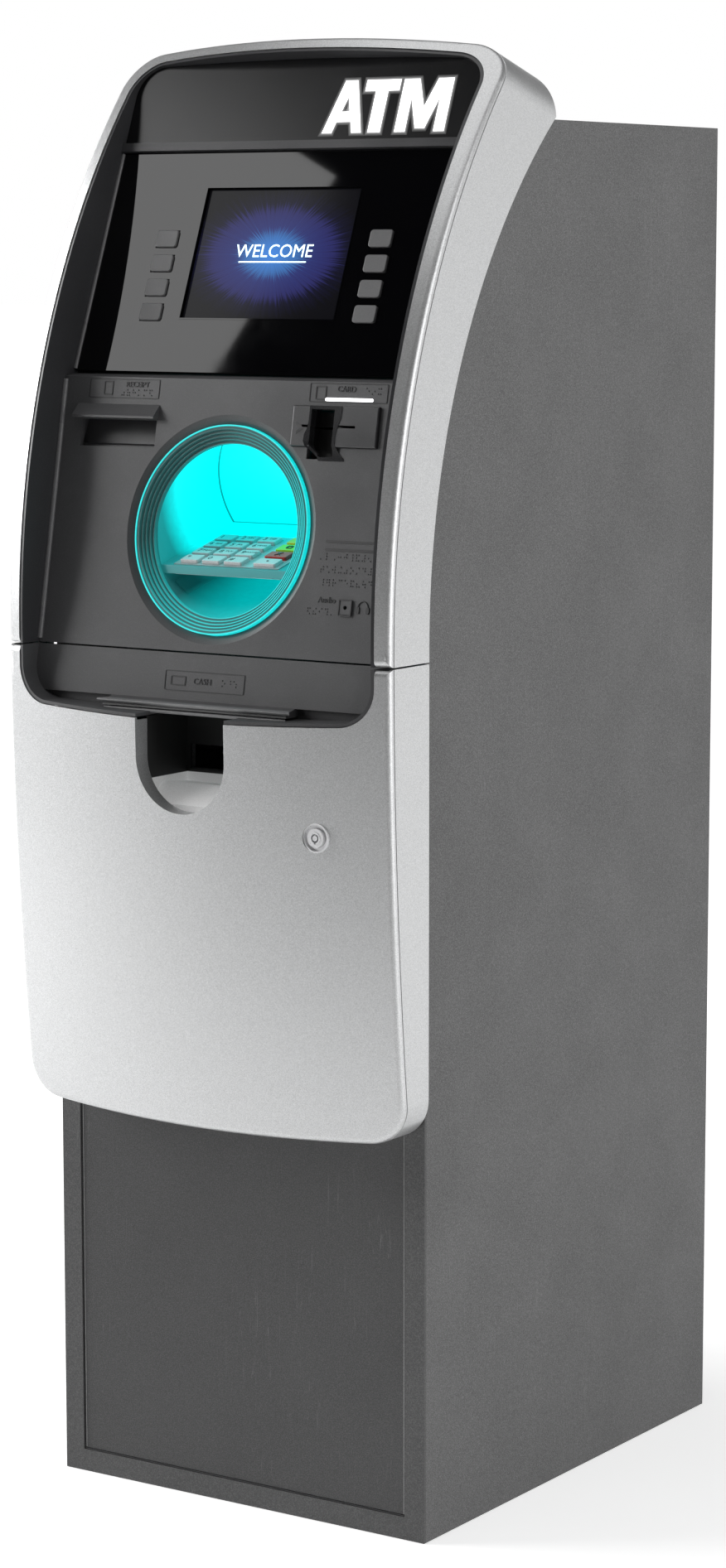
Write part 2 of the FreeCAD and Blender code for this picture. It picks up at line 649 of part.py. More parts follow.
def cash_tray():
    """Pocket behind the U: side walls, a ramp that lifts the notes and a rear wall with the throat."""
    x = U_HALF + U_LIP
    y = (U_BACK_Y, -5.0)
    z = (U_CENTRE_Z - U_HALF - U_LIP, OPEN_BOTTOM)
    wall = 2.0
    case = box((-x, x), y, z)
    room = box((-x + wall, x - wall), (y[0] - 1, y[1] - wall), (z[0] + wall, z[1] + 1))
    ramp = prism_x([(y[0], z[0]), (y[0], z[0] + 8), (y[0] + 24, z[0] + 24), (y[1], z[0] + 20), (y[1], z[0])],
                   (-x + 1, x - 1))
    throat = box((-44, 44), (y[1] - 5, y[1] + 1), (THROAT_Z - 11, THROAT_Z + 11))
    return fuse([case.cut(room), ramp]).cut(throat)


def lock_housing():
    """Dished ring and barrel body of the tubular lock."""
    y0 = surface_y(LOCK_X, LOCK_Z)
    ring = tube(LOCK_RING_R, LOCK_BODY_R + 0.2, V(LOCK_X, y0 + 2.5, LOCK_Z), V(LOCK_X, y0 + 9, LOCK_Z))
    rim = tube(LOCK_RING_R, LOCK_RING_R - 1.2, V(LOCK_X, y0 - 0.5, LOCK_Z), V(LOCK_X, y0 + 3, LOCK_Z))
    body = tube(LOCK_BODY_R, LOCK_ROTOR_R + RUNNING, V(LOCK_X, y0 - 1, LOCK_Z), V(LOCK_X, y0 + 22, LOCK_Z))
    web = tube(LOCK_RING_R, LOCK_BODY_R - 0.5, V(LOCK_X, y0 + 7, LOCK_Z), V(LOCK_X, y0 + 9, LOCK_Z))
    return fuse([ring, rim, body, web])


def lock_rotor():
    """Turning core with its locating slot, and the cam behind it, drawn in the open position."""
    y0 = surface_y(LOCK_X, LOCK_Z)
    core = rod(LOCK_ROTOR_R, V(LOCK_X, y0 - 1.6, LOCK_Z), V(LOCK_X, y0 + 30, LOCK_Z))
    slot = box((LOCK_X - 0.8, LOCK_X + 0.8), (y0 - 3, y0 + 2), (LOCK_Z - LOCK_ROTOR_R - 1, LOCK_Z - 2.6))
    well = tube(3.8, 2.4, V(LOCK_X, y0 - 3, LOCK_Z), V(LOCK_X, y0 + 2.5, LOCK_Z))
    cam_y = (-48.0, -45.0)
    cam = box((LOCK_X - 7, LOCK_X + 7), cam_y, (LOCK_Z - 34, LOCK_Z + 7))
    neck = rod(LOCK_ROTOR_R, V(LOCK_X, y0 + 20, LOCK_Z), V(LOCK_X, cam_y[1] + 2, LOCK_Z))
    return fuse([core.cut(slot).cut(well), neck, cam])


# ---- hood ------------------------------------------------------------------------------------


def hood_shell():
    """Silver upper fascia: front frame around the opening, side flanges, sloping top, rear lip."""
    upper, lower = barrel(0)
    body = upper.fuse(lower).removeSplitter()
    outer = body.common(sloped_prism(fascia_outline(0), TOP_FRONT)).common(hood_side_cut())
    outer = outer.makeFillet(EDGE_FILLET, front_edges(outer, (SEAM_Z, 1400)))
    upper, lower = barrel(FASCIA_T)
    inner = upper.fuse(lower).removeSplitter().common(sloped_prism(fascia_outline(FASCIA_T), TOP_FRONT))
    inner = inner.common(box((-FAR, FAR), (-FAR, HOOD_REAR_Y - FASCIA_T), (0, FAR * 2)))
    shell = outer.cut(inner).cut(hood_opening(0))
    for ring in edge_groove(sloped_prism(fascia_outline(GROOVE_DEPTH), TOP_FRONT)):
        shell = shell.cut(ring)
    half = FASCIA_HALF - FASCIA_T
    shell = shell.cut(box((-half, half), (HOOD_REAR_Y - 20, HOOD_REAR_Y + 5), (0, HOOD_AXIS.z - 5)))
    y, z = HOOD_AXIS.y, HOOD_AXIS.z
    posts = [box((x - 1, x + 11), (y, y + 12), (z - 6, z + 4)) for x in HOOD_POSTS_X]
    shell = shell.cut(Part.Compound(posts))
    knuckles = []
    for x in (-166, -46, 64, 140):
        knuckles.append(rod(HOOD_KNUCKLE_R, V(x, y, z), V(x + 26, y, z)))
        knuckles.append(box((x, x + 26), (y + 2, HOOD_REAR_Y - 1), (z, z + 6)))
    shell = fuse([shell] + knuckles)
    return shell.cut(rod(HOOD_ROD_R + RUNNING, V(-190, y, z), V(190, y, z)))


def upper_bezel():
    """Dark lining of the opening above the seam, with the bar between sign and screen."""
    low = SEAM_Z + SEAM_GAP / 2
    ring = hood_opening(BEZEL_GAP).cut(hood_opening(BEZEL_GAP + BEZEL_T))
    deep = 12.0
    profile = [(-200, low), (control_y(low) + deep, low), (control_y(LEDGE_Z) + deep, LEDGE_Z),
               (screen_y(LEDGE_Z + 4) + deep, LEDGE_Z + 4), (screen_y(1330) + deep, 1330), (-200, 1330)]
    upper, lower = barrel(1.0)
    body = upper.fuse(lower).removeSplitter()
    ring = ring.common(prism_x(profile, (-FAR, FAR))).common(body)
    bar = on_screen(box((-PANEL_HALF - 0.6, PANEL_HALF + 0.6), (-4, 6),
                        (screen_s(SCREEN_Z[1]) + 0.4, screen_s(SIGN_Z[0]) - 0.4)))
    return fuse([ring, bar])


def letter_a():
    outline = poly([(28, 0, 0), (42, 0, 48.5), (54.5, 0, 48.5), (68.5, 0, 0), (58.8, 0, 0), (55.8, 0, 10.3),
                    (40.6, 0, 10.3), (37.6, 0, 0)])
    hole = poly([(43.6, 0, 19.5), (52.8, 0, 19.5), (48.2, 0, 34.0)])
    return outline.cut(hole)


def letter_t():
    return poly([(75.8, 0, 0), (75.8, 0, 38.5), (64.5, 0, 38.5), (64.5, 0, 48.5), (99.5, 0, 48.5),
                 (99.5, 0, 38.5), (88.2, 0, 38.5), (88.2, 0, 0)])


def letter_m():
    return poly([(103.5, 0, 0), (103.5, 0, 48.5), (119, 0, 48.5), (128.7, 0, 22), (138.5, 0, 48.5),
                 (154, 0, 48.5), (154, 0, 0), (143.5, 0, 0), (143.5, 0, 32), (133.5, 0, 3), (124, 0, 3),
                 (114, 0, 32), (114, 0, 0)])


def sign_letters(grow=0.0):
    """Three plain block letters of the sign, inlaid in the panel and standing 0.4 mm proud."""
    letters = []
    for face in (letter_a(), letter_t(), letter_m()):
        solid = face.extrude(V(0, 2.4 + grow, 0))
        solid.translate(V(0, -0.4 - grow, screen_s(1220.2)))
        letters.append(on_screen(solid))
    return Part.Compound(letters)


def sign_panel():
    slab = on_screen(box((-PANEL_HALF, PANEL_HALF), (0, 4), (screen_s(SIGN_Z[0]), screen_s(SIGN_Z[1]))))
    slab = slab.common(hood_opening(BEZEL_GAP + BEZEL_T + 0.3))
    tray = on_screen(box((-150, 170), (4, 22), (screen_s(1217), screen_s(1268))))
    return fuse([slab, tray]).cut(sign_letters(2.0))


def function_key_centres():
    return [(side * FKEY_X, FKEY_S0 + FKEY_PITCH * row) for side in (-1, 1) for row in (3, 2, 1, 0)]


def screen_panel():
    slab = box((-PANEL_HALF, PANEL_HALF), (0, PANEL_T), (screen_s(SCREEN_Z[0]), screen_s(SCREEN_Z[1])))
    cuts = [box((-LCD_HALF, LCD_HALF), (-1, PANEL_T + 1), LCD_S)]
    w, h = FKEY_SIZE[0] / 2 + KEY_CLEARANCE, FKEY_SIZE[1] / 2 + KEY_CLEARANCE
    for x, s in function_key_centres():
        cuts.append(box((x - w, x + w), (-1, PANEL_T + 1), (s - h, s + h)))
    return on_screen(slab.cut(Part.Compound(cuts)))


def function_key(x, s):
    """A rounded rectangular key with a wider retaining foot behind the panel."""
    w, h = FKEY_SIZE[0] / 2, FKEY_SIZE[1] / 2
    cap = box((x - w, x + w), (-2, PANEL_T + 1), (s - h, s + h))
    cap = cap.makeFillet(3.0, [e for e in cap.Edges if abs(e.BoundBox.YLength - PANEL_T - 3) < 0.1])
    cap = cap.makeFillet(0.8, [e for e in cap.Edges if e.BoundBox.YMax < -1.9])
    foot = box((x - w - 1.2, x + w + 1.2), (PANEL_T + 0.4, PANEL_T + 1.8), (s - h - 1.2, s + h + 1.2))
    return on_screen(fuse([cap, foot]))


def lcd_module():
    glass = box((-LCD_HALF + 0.3, LCD_HALF - 0.3), (3.6, PANEL_T), (LCD_S[0] + 0.3, LCD_S[1] - 0.3))
    case = box((-92, 92), (PANEL_T, 26), (LCD_S[0] - 8, LCD_S[1] + 8))
    boards = [box(x, (11, 13), (FKEY_S0 - 14, FKEY_S0 + 3 * FKEY_PITCH + 14))
              for x in ((-132, -91), (91, 132))]
    return on_screen(fuse([glass, case] + boards))


def control_panel():
    """Charcoal panel around the ring, with the receipt hood, the card window and the audio jack."""
    low, high = SEAM_Z + SEAM_GAP / 2, LEDGE_Z
    slab = box((-PANEL_HALF, PANEL_HALF), (0, PANEL_T), (control_s(low) - 2, control_s(high)))
    ledge = prism_x([(0, control_s(high)), (18, control_s(high) + 6), (18, control_s(high) + 3),
                     (3, control_s(high) - 2)], (-PANEL_HALF, PANEL_HALF))
    x0, x1 = RECEIPT_X
    top = RECEIPT_S[1]
    hood = prism_x([(0.5, top + 14), (-8, top + 2), (-8, top), (0.5, top)], (x0 - 6, x1 + 1.5))
    jack = box((JACK_X - 6, JACK_X + 6), (-1.2, 14), (JACK_S - 6, JACK_S + 6))
    panel = fuse([slab, ledge, hood, jack])
    hole = rod(RING_R + 0.5, V(0, -1, 0), V(0, PANEL_T + 1, 0))
    dish = Part.makeCone(RING_DISH_R, RING_R + 0.5, 4.0, V(0, 0, 0), V(0, 1, 0))
    cuts = [hole, dish,
            box(RECEIPT_X, (-1, PANEL_T + 1), RECEIPT_S),
            box(CARD_X, (-1, PANEL_T + 1), CARD_S),
            box(NOTCH_X, (-1, PANEL_T + 1), (NOTCH_LOW, CARD_S[0] + 1)),
            rod(JACK_R, V(JACK_X, -3, JACK_S), V(JACK_X, 12, JACK_S))]
    panel = on_control(panel.cut(Part.Compound(cuts)))
    return panel.common(box((-FAR, FAR), (-FAR, FAR), (low, FAR * 2)))


def light_ring():
    """Light guide around the keypad pocket: a funnel of five fine steps with a ridge on each."""
    steps = 5
    front, back = 1.0, 8.0
    pitch = (RING_R - RING_INNER_R - 1.0) / steps
    points = [(RING_R, RING_DEPTH), (RING_R, front - 0.8), (RING_R - 1.0, front - 0.8)]
    for i in range(steps):
        r = RING_R - 1.0 - pitch * i
        d = front + (back - front) * i / (steps - 1)
        points += [(r, d), (r - pitch + 0.8, d), (r - pitch + 0.8, d - 0.5), (r - pitch, d - 0.5)]
    points += [(RING_INNER_R, RING_DEPTH)]
    face = poly([(r, d, 0) for r, d in points])
    return on_control(face.revolve(V(0, 0, 0), V(0, 1, 0), 360))


def keypad_housing():
    """Round pocket that rises to the back, closed by a rear wall, with the keypad's shelf across it."""
    start, end = V(0, -40, 0), V(0, POCKET_LENGTH, 0)
    back = V(0, POCKET_LENGTH + POCKET_WALL, 0)
    outer = rod(POCKET_R + POCKET_WALL, start, back)
    shell = outer.cut(rod(POCKET_R, start, end))
    shelf = box((-90, 90), (-40, POCKET_LENGTH + 1), (SHELF_TOP - SHELF_T, SHELF_TOP))
    shelf = shelf.common(rod(POCKET_R + 1, start, back))
    window = box((-PAD_HALF - 0.2, PAD_HALF + 0.2), (PAD_Y[0] - 0.2, PAD_Y[1] + 0.2), (-60, 0))
    body = in_pocket(fuse([shell, shelf]).cut(window))
    ahead = on_control(box((-FAR, FAR), (-FAR, RING_DEPTH + 0.2), (-FAR, FAR)))
    return body.cut(ahead)


def pin_pad():
    """Sealed keypad module with sixteen key wells."""
    base = box((-PAD_HALF, PAD_HALF), PAD_Y, (SHELF_TOP - 9, SHELF_TOP + 0.8))
    wells = []
    for x, width in PIN_COLUMNS:
        for row in range(4):
            y = PIN_ROW_Y + PIN_ROW_PITCH * row
            wells.append(box((x - KEY_CLEARANCE, x + width + KEY_CLEARANCE),
                             (y - KEY_CLEARANCE, y + PIN_KEY_DEPTH + KEY_CLEARANCE),
                             (SHELF_TOP - 5, SHELF_TOP + 2)))
    return in_pocket(base.cut(Part.Compound(wells)))


def pin_key(x, width, row):
    y = PIN_ROW_Y + PIN_ROW_PITCH * row
    key = box((x, x + width), (y, y + PIN_KEY_DEPTH), (SHELF_TOP - 3, SHELF_TOP + PIN_TOP))
    upright = [e for e in key.Edges if e.BoundBox.ZLength > PIN_TOP]
    key = key.makeFillet(1.6, upright)
    top = [e for e in key.Edges if e.BoundBox.ZMin > SHELF_TOP + PIN_TOP - 0.1]
    return in_pocket(key.makeFillet(0.7, top))


def card_reader():
    """Reader body behind a proud bezel with a finger notch across its slot."""
    gap = 0.4
    front = box((CARD_X[0] + gap, CARD_X[1] - gap), (-3, 8), (CARD_S[0] + gap, CARD_S[1] - gap))
    front = front.makeFillet(1.2, [e for e in front.Edges if e.BoundBox.YMax < -2.9])
    chin = box((NOTCH_X[0] + gap, NOTCH_X[1] - gap), (PANEL_T + 1.5, 16), (NOTCH_LOW - 2, CARD_S[0] + 2))
    body = box((72, 146), (8, 75), (CARD_S[0] + 2, CARD_S[1] - 4))
    notch = box((NOTCH_X[0] + 3, NOTCH_X[1] - 3), (-5, 11), (NOTCH_LOW + 1, CARD_S[1] - 3))
    slot = box((77, 132), (-5, 70), (CARD_SLOT_S - 1.1, CARD_SLOT_S + 1.1))
    return on_control(fuse([front, chin, body]).cut(notch).cut(slot))


def receipt_printer():
    """Printer frame: side plates, floor, print head and the sloping mouth behind the receipt window."""
    x0, x1 = PRINTER_X
    s = (60.0, 122.0)
    plates = [box((x0, x0 + 2.5), (8, 104), s), box((x1 - 2.5, x1), (8, 104), s)]
    floor = box((x0, x1), (8, 104), (s[0], s[0] + 2.5))
    low, high = RECEIPT_S
    mouth = prism_x([(PANEL_T + 0.3, low - 6), (PANEL_T + 0.3, low + 2), (9, low + 4), (15, high + 3),
                     (15, high + 8), (PANEL_T + 0.3, high + 8), (PANEL_T + 0.3, high + 10), (18, high + 10),
                     (18, high), (11.5, low + 1), (11.5, low - 6)], (x0, x1))
    head = box((x0 + 2.5, x1 - 2.5), (PLATEN_AT[0] + 8, PLATEN_AT[0] + 15),
               (PLATEN_AT[1] - 9, PLATEN_AT[1] + 9))
    bores = []
    for depth, height in (ROLL_AT, PLATEN_AT):
        bores.append(rod(3 + RUNNING, V(x0 - 5, depth, height), V(x1 + 5, depth, height)))
    return on_control(fuse(plates + [floor, mouth, head]).cut(Part.Compound(bores)))


def spindle_roller(at, radius, margin):
    x0, x1 = PRINTER_X
    depth, height = at
    shaft = rod(3, V(x0 - 1, depth, height), V(x1 + 0.5, depth, height))
    drum = rod(radius, V(x0 + margin, depth, height), V(x1 - margin, depth, height))
    return on_control(fuse([shaft, drum]))


def paper_roll():
    return spindle_roller(ROLL_AT, ROLL_R, 4.0)


def platen_roller():
    return spindle_roller(PLATEN_AT, PLATEN_R, 3.5)


def build():
    offset = ROLLER_R + ROLLER_GAP / 2
    nodes = {
        "cabinet_shell": cabinet_shell(),
        "rear_panel": rear_panel(),
        "base_plate": base_plate(),
        "front_frame": front_frame(),
        "vault_shelf": vault_shelf(),
        "power_supply": power_supply(),
        "control_computer": control_computer(),
        "dispenser_frame": dispenser_frame(),
        "feed_roller": note_roller(THROAT_Z - offset),
        "exit_roller": note_roller(THROAT_Z + offset),
        "cash_cassette": cash_cassette(),
        "door_hinge": door_hinge(),
        "hood_hinge": hood_hinge(),
        "vault_door": vault_door(),
        "lock_bolts": lock_bolts(),
        "vault_handle": vault_handle(),
        "combination_dial": combination_dial(),
        "lower_fascia": lower_fascia(),
        "lower_bezel": lower_bezel(),
        "cash_tray": cash_tray(),
        "lock_housing": lock_housing(),
        "lock_rotor": lock_rotor(),
        "hood_shell": hood_shell(),
        "upper_bezel": upper_bezel(),
        "sign_panel": sign_panel(),
        "sign_letters": sign_letters(),
        "screen_panel": screen_panel(),
        "lcd_module": lcd_module(),
        "control_panel": control_panel(),
        "light_ring": light_ring(),
        "keypad_housing": keypad_housing(),
        "pin_pad": pin_pad(),
        "card_reader": card_reader(),
        "receipt_printer": receipt_printer(),
        "paper_roll": paper_roll(),
        "platen_roller": platen_roller(),
    }
    for i, (x, s) in enumerate(function_key_centres()):
        side = "left" if x < 0 else "right"
        nodes["function_key_%s_%d" % (side, i % 4 + 1)] = function_key(x, s)
    for column, (x, width) in enumerate(PIN_COLUMNS):
        for row in range(4):
            nodes["pin_key_r%d_c%d" % (4 - row, column + 1)] = pin_key(x, width, row)
    return nodes


os.makedirs("parts", exist_ok=True)
for name, shape in build().items():
    shape.translate(ORIGIN_SHIFT)
    shape.exportStep("parts/" + name + ".step")
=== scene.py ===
import json
from math import cos, pi, radians, sin

import bmesh
import bpy
from mathutils import Matrix, Vector


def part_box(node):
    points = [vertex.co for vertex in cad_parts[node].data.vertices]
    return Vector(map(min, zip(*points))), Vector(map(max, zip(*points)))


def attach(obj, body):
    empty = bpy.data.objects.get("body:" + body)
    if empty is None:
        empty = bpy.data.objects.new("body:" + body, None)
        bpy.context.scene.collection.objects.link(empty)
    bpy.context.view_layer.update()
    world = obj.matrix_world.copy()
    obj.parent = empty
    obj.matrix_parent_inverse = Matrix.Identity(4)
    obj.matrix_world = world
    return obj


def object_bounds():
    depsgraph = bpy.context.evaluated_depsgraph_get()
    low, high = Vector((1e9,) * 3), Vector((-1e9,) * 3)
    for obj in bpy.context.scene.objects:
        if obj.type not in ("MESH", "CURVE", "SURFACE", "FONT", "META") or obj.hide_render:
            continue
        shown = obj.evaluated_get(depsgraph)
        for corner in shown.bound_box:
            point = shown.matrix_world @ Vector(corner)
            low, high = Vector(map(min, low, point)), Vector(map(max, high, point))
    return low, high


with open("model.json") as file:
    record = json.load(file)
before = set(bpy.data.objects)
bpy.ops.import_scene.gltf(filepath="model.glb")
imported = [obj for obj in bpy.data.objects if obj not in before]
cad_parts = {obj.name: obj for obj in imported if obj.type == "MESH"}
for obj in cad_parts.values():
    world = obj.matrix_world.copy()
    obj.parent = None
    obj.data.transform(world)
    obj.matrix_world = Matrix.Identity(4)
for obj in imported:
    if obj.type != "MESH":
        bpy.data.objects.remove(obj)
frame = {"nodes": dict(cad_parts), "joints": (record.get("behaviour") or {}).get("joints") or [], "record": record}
cad_box = [list(corner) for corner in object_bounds()]
nodes = frame["nodes"]
record = frame["record"]
joints = {j["name"]: j for j in frame["joints"]}
mounts = {m["name"]: m for m in record["mounts"]}
MM = 0.001

# Places that a material changes at, in metres
RING_GROOVE = 0.0029
RING_RIM = 0.0910
POCKET_WALL = 0.0772
POCKET_BACK = 0.1096
SIGN_FROM = 1.209
TRAY_SPLIT = 0.664

# Depths and heights on the working planes, in millimetres; negative is proud of the surface
FRAME_RETURN = 40.0
SCREEN_THICKNESS = 5.0
DOOR_DEPTH = 2.0
KEY_TOP = 29.9
INK = 0.12
RELIEF = -0.5
LABEL_EDGE = -0.45
GRILLE_PROUD = -1.2

# Middle of the fan on the back, in millimetres
FAN_AT = (100, 900)

WHITE = (1.0, 1.0, 1.0)
CYAN = (0.0, 1.0, 1.0)


# ---- working planes --------------------------------------------------------------------------


class Plane:
    """A flat working plane: x across, s up along it and d into the object, in millimetres."""

    def __init__(self, origin, inward, right=(1, 0, 0)):
        self.origin = Vector(origin)
        self.d = Vector(inward).normalized()
        self.x = Vector(right)
        self.s = self.x.cross(self.d)

    def at(self, x, s, d=0.0):
        return self.origin + (self.x * x + self.s * s + self.d * d) * MM


def slab_plane(node, inward, thickness):
    """The front plane of a tilted slab, with s counted from its lower front edge."""
    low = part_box(node)[0]
    lean = Vector(inward).normalized()
    return Plane((0, low.y, low.z - thickness * MM * lean.z), inward)


# Where the audio jack sits on the control panel's plane, in millimetres
jack = mounts["audio_jack"]
JACK_AT = (139.0, -61.0, 5.0)
control = Plane((0, 0, 0), -Vector(jack["axis"]))
control.origin = Vector(jack["pos_m"]) - control.at(*JACK_AT)
pocket = Plane(control.origin, joints["pin_key_r1_c1_press"]["axis"])
screen = slab_plane("screen_panel", joints["function_key_left_1_press"]["axis"], SCREEN_THICKNESS)
front = Plane((0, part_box("front_frame")[1].y - FRAME_RETURN * MM, 0), (0, 1, 0))


# ---- materials -------------------------------------------------------------------------------


class Shader:
    """A Principled material whose sockets are set by name, with short calls for texture nodes."""

    def __init__(self, name, **sockets):
        self.mat = bpy.data.materials.new(name)
        self.mat.use_nodes = True
        self.tree = self.mat.node_tree
        self.bsdf = self.tree.nodes["Principled BSDF"]
        self.place = self.node("ShaderNodeTexCoord").outputs["Object"]
        for socket, value in sockets.items():
            self.set(socket.replace("_", " "), value)

    def node(self, kind, **settings):
        made = self.tree.nodes.new(kind)
        for key, value in settings.items():
            setattr(made, key, value)
        return made

    def link(self, source, target):
        self.tree.links.new(source, target)

    def plug(self, socket, value):
        """Links an output to a socket, or sets a constant on it."""
        if isinstance(value, bpy.types.NodeSocket):
            self.link(value, socket)
        elif isinstance(value, (tuple, list)) and len(value) == 3 and len(socket.default_value) == 4:
            socket.default_value = (*value, 1.0)
        else:
            socket.default_value = value

    def set(self, socket, value):
        self.plug(self.bsdf.inputs[socket], value)

    def scaled(self, scale, place=None):
        mapping = self.node("ShaderNodeMapping")
        self.link(place or self.place, mapping.inputs["Vector"])
        mapping.inputs["Scale"].default_value = scale
        return mapping.outputs["Vector"]

    def noise(self, scale, detail=3.0, roughness=0.5, place=None):
        made = self.node("ShaderNodeTexNoise")
        self.link(place or self.place, made.inputs["Vector"])
        made.inputs["Scale"].default_value = scale
        made.inputs["Detail"].default_value = detail
        made.inputs["Roughness"].default_value = roughness
        return made.outputs["Fac"]

    def cells(self, scale, output="Distance"):
        made = self.node("ShaderNodeTexVoronoi")
        self.link(self.place, made.inputs["Vector"])
        made.inputs["Scale"].default_value = scale
        return made.outputs[output]

    def remap(self, value, low, high, to_low=0.0, to_high=1.0):
        made = self.node("ShaderNodeMapRange")
        self.plug(made.inputs["Value"], value)
        limits = {"From Min": low, "From Max": high, "To Min": to_low, "To Max": to_high}
        for socket, number in limits.items():
            self.plug(made.inputs[socket], number)
        return made.outputs["Result"]

    def math(self, operation, a, b=0.0):
        made = self.node("ShaderNodeMath", operation=operation)
        self.plug(made.inputs[0], a)
        self.plug(made.inputs[1], b)
        return made.outputs["Value"]

    def product(self, a, b):
        return self.math("MULTIPLY", a, b)

    def mix(self, factor, a, b, blend="MIX"):
        made = self.node("ShaderNodeMix", data_type="RGBA", blend_type=blend)
        self.plug(made.inputs["Factor"], factor)
        self.plug(made.inputs[6], a)
        self.plug(made.inputs[7], b)
        return made.outputs[2]

    def dot(self, vector, direction):
        made = self.node("ShaderNodeVectorMath", operation="DOT_PRODUCT")
        self.link(vector, made.inputs[0])
        made.inputs[1].default_value = direction
        return made.outputs["Value"]

    def length(self, vector):
        made = self.node("ShaderNodeVectorMath", operation="LENGTH")
        self.link(vector, made.inputs[0])
        return made.outputs["Value"]

    def away(self, centre):
        """The vector from centre to the shaded point."""
        made = self.node("ShaderNodeVectorMath", operation="SUBTRACT")
        self.link(self.place, made.inputs[0])
        made.inputs[1].default_value = centre
        return made.outputs["Vector"]

    def across(self, centre, axis):
        """The vector from an axis through centre to the shaded point, square to the axis."""
        away = self.away(centre)
        along = self.node("ShaderNodeVectorMath", operation="SCALE")
        along.inputs[0].default_value = axis
        self.link(self.dot(away, axis), along.inputs["Scale"])
        square = self.node("ShaderNodeVectorMath", operation="SUBTRACT")
        self.link(away, square.inputs[0])
        self.link(along.outputs["Vector"], square.inputs[1])
        return square.outputs["Vector"]

    def axis(self, name, place=None):
        made = self.node("ShaderNodeSeparateXYZ")
        self.link(place or self.place, made.inputs["Vector"])
        return made.outputs[name]

    def bump(self, height, distance, strength=1.0, below=None):
        made = self.node("ShaderNodeBump")
        made.inputs["Strength"].default_value = strength
        made.inputs["Distance"].default_value = distance
        self.plug(made.inputs["Height"], height)
        if below is not None:
            self.link(below, made.inputs["Normal"])
        self.link(made.outputs["Normal"], self.bsdf.inputs["Normal"])
        return made.outputs["Normal"]


def scratches(shader, across, along, amount):
    """Sparse fine lines: a noise stretched along one direction, kept only near its middle value."""
    lines = shader.noise(1.0, 2.0, 0.5, shader.scaled((across, across, along)))
    near = shader.math("ABSOLUTE", shader.math("SUBTRACT", lines, 0.5))
    thin = shader.remap(near, 0.0, 0.006, 1.0, 0.0)
    patches = shader.remap(shader.noise(9.0, 2.0), 0.5, 0.68)
    return shader.product(shader.product(thin, patches), amount)


def powder_coat(name, dark, light, rough):
    """Fine-textured powder coat: orange-peel bump with pale specks and a slow change of tone."""
    s = Shader(name, Specular_IOR_Level=0.4)
    specks = s.remap(s.noise(1150.0, 2.0, 0.7), 0.42, 0.72)
    drift = s.remap(s.noise(2.2, 4.0, 0.6), 0.3, 0.7, 0.88, 1.08)
    colour = s.mix(specks, dark, light)
    tone = s.node("ShaderNodeCombineColor")
    for channel in ("Red", "Green", "Blue"):
        s.link(drift, tone.inputs[channel])
    colour = s.mix(1.0, colour, tone.outputs["Color"], "MULTIPLY")
    rub = scratches(s, 160.0, 5.0, 0.35)
    s.set("Base Color", s.mix(rub, colour, (0.22, 0.22, 0.22)))
    s.set("Roughness", s.remap(s.noise(14.0, 5.0), 0.3, 0.7, rough - 0.06, rough + 0.07))
    peel = s.bump(s.noise(620.0, 2.0), 0.00025, 0.35)
    s.bump(s.noise(1700.0, 1.0), 0.0001, 0.35, peel)
    return s.mat


def silver_paint():
    """Metallic paint over moulded plastic: tiny flakes under a satin lacquer."""
    s = Shader("silver_paint", Metallic=0.72, Coat_Weight=0.12, Coat_Roughness=0.22)
    flake_value = s.axis("X", s.cells(2300.0, output="Color"))
    grain = s.noise(900.0, 2.0, 0.6)
    speck = s.math("ADD", s.product(flake_value, 0.55), s.product(grain, 0.45))
    colour = s.mix(s.remap(speck, 0.25, 0.75), (0.44, 0.445, 0.45), (0.64, 0.645, 0.65))
    haze = s.remap(s.noise(4.0, 5.0, 0.6), 0.35, 0.7, 0.0, 0.10)
    s.set("Base Color", s.mix(haze, colour, (0.50, 0.50, 0.49)))
    rough = s.math("ADD", s.remap(flake_value, 0.0, 1.0, 0.31, 0.42), scratches(s, 130.0, 9.0, 0.12))
    s.set("Roughness", rough)
    s.bump(flake_value, 0.00003, 0.45)
    return s.mat


def moulded(name, colour, rough, grain=1300.0, depth=0.00008, specular=0.5):
    """Moulded plastic with a spark-eroded grain, slight dust and finger wear."""
    s = Shader(name, Specular_IOR_Level=specular)
    pits = s.cells(grain)
    dust = s.remap(s.noise(35.0, 6.0, 0.65), 0.52, 0.8, 0.0, 0.22)
    pale = tuple(min(1.0, c * 1.9 + 0.02) for c in colour)
    s.set("Base Color", s.mix(dust, s.mix(s.remap(pits, 0.0, 0.9, 0.0, 0.35), colour, pale), pale))
    worn = s.remap(s.noise(11.0, 4.0), 0.35, 0.7, rough - 0.08, rough + 0.08)
    s.set("Roughness", worn)
    s.bump(pits, depth, 0.5)
    return s.mat


def gloss_black():
    """Polished black acrylic with faint smudges and hairline scratches, less glossy behind the sign."""
    s = Shader("gloss_black", Specular_IOR_Level=0.55)
    smudge = s.remap(s.noise(16.0, 6.0, 0.6), 0.52, 0.78, 0.0, 0.035)
    sign = s.remap(s.axis("Z"), SIGN_FROM, SIGN_FROM + 0.004, 0.0, 0.20)
    worn = s.math("ADD", s.math("ADD", smudge, sign), scratches(s, 240.0, 30.0, 0.05))
    s.set("Roughness", s.math("ADD", worn, 0.028))
    dust = s.remap(s.noise(800.0, 2.0, 0.8), 0.74, 0.82, 0.0, 0.25)
    s.set("Base Color", s.mix(dust, (0.0015, 0.0015, 0.002), (0.03, 0.03, 0.03)))
    return s.mat


